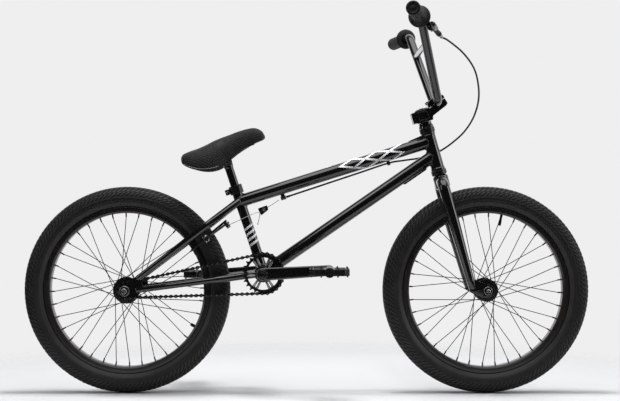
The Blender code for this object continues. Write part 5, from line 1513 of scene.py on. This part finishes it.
def lever():
    outward = Vector((GRIP_OUTER.x - GRIP_INNER.x, GRIP_INNER.y - GRIP_OUTER.y,
                      GRIP_OUTER.z - GRIP_INNER.z)).normalized()
    ahead = Vector((0.784, 0, -0.620))
    ahead = (ahead - outward * ahead.dot(outward)).normalized()
    middle = Vector((GRIP_INNER.x, -GRIP_INNER.y, GRIP_INNER.z)) - outward * 0.0125
    normal = outward.cross(ahead)
    plane = frame_at(middle, outward, normal)

    def at(out, forward, above=0.0):
        return middle + outward * out + ahead * forward + normal * above

    made = [turned([(0.0165, 0.0065), (0.0165, -0.0065), (BAR_RADIUS + 0.0006, -0.0065),
                    (BAR_RADIUS + 0.0006, 0.0065)], middle, outward, 64, edge=0.0015)]
    made.append(block((0.0100, 0.0260, 0.0140), frame_at(at(-0.0100, 0.0300), outward, normal), 0.0030))
    made.append(block((0.0100, 0.0100, 0.0140), frame_at(at(-0.0015, 0.0185), outward, normal), 0.0020))
    cheek = soft([(-0.0060, 0.0290), (0.0080, 0.0280), (0.0140, 0.0340), (0.0120, 0.0430),
                  (-0.0060, 0.0445)], 0.004, 5)
    for side in (1, -1):
        made.append(plate([cheek], 0.0050, frame_at(at(0, 0, side * 0.0075), outward, normal), 0.0010))
        made += bolt(at(0.0070, 0.0360, side * 0.0098), normal * side, 0.0034, 0.0018)
    made += bolt(at(-0.0015, 0.0185, 0.0068), normal, 0.0030, 0.0024)
    start, end = at(-0.0140, 0.0420), Vector((0.3255, -0.1800, 0.8795))
    turn = (end - start).normalized()
    made.append(rod(start, end - turn * 0.0100, 0.0062, 32))
    flutes = [(0.0062 + 0.0004 * (i % 2), 0.0008 * i) for i in range(11)]
    made.append(turned([(0, 0)] + flutes + [(0, 0.0080)], end - turn * 0.0190, turn, 32, False))
    made.append((rod(end - turn * 0.0120, end, 0.0045, 24), "steel"))
    made.append((rod(at(0.0070, 0.0360, -0.0090), at(0.0070, 0.0360, 0.0090), 0.0022, 20), "steel"))
    piece("lever_bracket", "fork", made, "satin_black")

    blade = [(-0.0005, 0.0300), (-0.0025, 0.0350), (-0.0030, 0.0420), (0.0080, 0.0480),
             (0.0300, 0.0560), (0.0600, 0.0610), (0.1080, 0.0600), (0.1150, 0.0570),
             (0.1150, 0.0520), (0.1080, 0.0500), (0.0600, 0.0520), (0.0340, 0.0470),
             (0.0180, 0.0370), (0.0120, 0.0305)]
    hole = ring(0.0028, 20, (0.0070, 0.0360))
    piece("brake_lever", "lever", [plate([soft(blade, 0.012, 6), hole], 0.0090, plane, 0.0024, 4)],
          "satin_black")


# Studio

BACKDROP = (0.862, 0.862, 0.864, 1)
FLOOR_COLOUR = (0.53, 0.535, 0.545, 1)
FLOOR_RADIUS = 1.4
ROOM_COLOUR = (0.97, 0.98, 1.0, 1)
# The bright side of the room is on the rider's left and ahead.
BRIGHT_SIDE = (0.45, 0.89, 0.0)
CAMERA_PLACE = (0.009, -3.39, 0.487)


def floor_look():
    """A pale matt floor that thins out to the backdrop well away from the bike."""
    look = bpy.data.materials.new("studio_floor")
    look.use_nodes = True
    nodes, links = look.node_tree.nodes, look.node_tree.links
    shader = nodes["Principled BSDF"]
    set_inputs(shader, Base_Color=FLOOR_COLOUR, Roughness=0.9, Specular_IOR_Level=0.0)
    place = add(nodes, "TexCoord")
    length = add(nodes, "VectorMath")
    length.operation = "LENGTH"
    links.new(place.outputs["Object"], length.inputs[0])
    fade = add(nodes, "MapRange")
    fade.interpolation_type = "SMOOTHSTEP"
    set_inputs(fade, From_Min=0.80, From_Max=1.35, To_Min=1.0, To_Max=0.0)
    links.new(length.outputs["Value"], fade.inputs["Value"])
    links.new(fade.outputs["Result"], shader.inputs["Alpha"])
    return look


def world_look():
    """The backdrop as the camera sees it; as the paint reflects it, bright behind and to the right."""
    world = bpy.data.worlds.new("studio")
    world.use_nodes = True
    nodes, links = world.node_tree.nodes, world.node_tree.links
    seen = nodes["Background"]
    seen.inputs["Color"].default_value = BACKDROP
    place = add(nodes, "TexCoord")
    facing = add(nodes, "VectorMath")
    facing.operation = "DOT_PRODUCT"
    facing.inputs[1].default_value = BRIGHT_SIDE
    links.new(place.outputs["Generated"], facing.inputs[0])
    depth = add(nodes, "MapRange")
    depth.interpolation_type = "SMOOTHSTEP"
    set_inputs(depth, From_Min=-0.05, From_Max=0.65, To_Min=0.035, To_Max=0.95)
    links.new(facing.outputs["Value"], depth.inputs["Value"])
    room = add(nodes, "Background", Color=ROOM_COLOUR)
    links.new(depth.outputs["Result"], room.inputs["Strength"])
    path = add(nodes, "LightPath")
    mix = add(nodes, "MixShader")
    links.new(path.outputs["Is Camera Ray"], mix.inputs["Fac"])
    links.new(room.outputs["Background"], mix.inputs[1])
    links.new(seen.outputs["Background"], mix.inputs[2])
    links.new(mix.outputs["Shader"], nodes["World Output"].inputs["Surface"])
    return world


def softbox(name, place, aim, width, height, power, in_reflections=True):
    light = bpy.data.lights.new(name, "AREA")
    light.shape = "RECTANGLE"
    light.size = width
    light.size_y = height
    light.energy = power
    lamp = bpy.data.objects.new(name, light)
    lamp.location = place
    lamp.visible_glossy = in_reflections
    lamp.rotation_euler = (Vector(aim) - Vector(place)).to_track_quat("-Z", "Y").to_euler()
    bpy.context.scene.collection.objects.link(lamp)


def studio():
    bpy.ops.mesh.primitive_circle_add(vertices=96, radius=FLOOR_RADIUS, fill_type="NGON",
                                      location=(0, 0, 0))
    floor = bpy.context.object
    floor.name = "studio_floor"
    floor.data.materials.append(floor_look())
    bpy.context.scene.world = world_look()
    softbox("overhead", (0.0, -0.65, 2.6), (0, -0.1, 0.3), 3.0, 2.0, 52)
    softbox("top", (0.0, 0.0, 2.6), (0, 0, 0), 0.7, 0.45, 66, in_reflections=False)
    softbox("left", (-2.4, -0.9, 1.1), (0, 0, 0.45), 0.5, 1.6, 8)
    softbox("right", (2.5, -0.7, 1.2), (0, 0, 0.5), 0.8, 1.6, 15)

    camera = bpy.data.cameras.new("camera")
    camera.lens = 77.6
    camera.sensor_width = 36
    eye = bpy.data.objects.new("camera", camera)
    eye.location = CAMERA_PLACE
    eye.rotation_euler = (radians(90), 0, 0)
    bpy.context.scene.collection.objects.link(eye)
    bpy.context.scene.camera = eye
    bpy.context.scene.view_settings.view_transform = "Standard"


def main():
    wheels()
    frame_tubes()
    stays()
    fork()
    stem()
    handlebar()
    pins = chain_run()
    sprocket(pins)
    driver(pins)
    chain(pins)
    crankset()
    seat()
    brake_arms()
    brake_cable()
    brake_housing()
    lever()
    studio()


main()
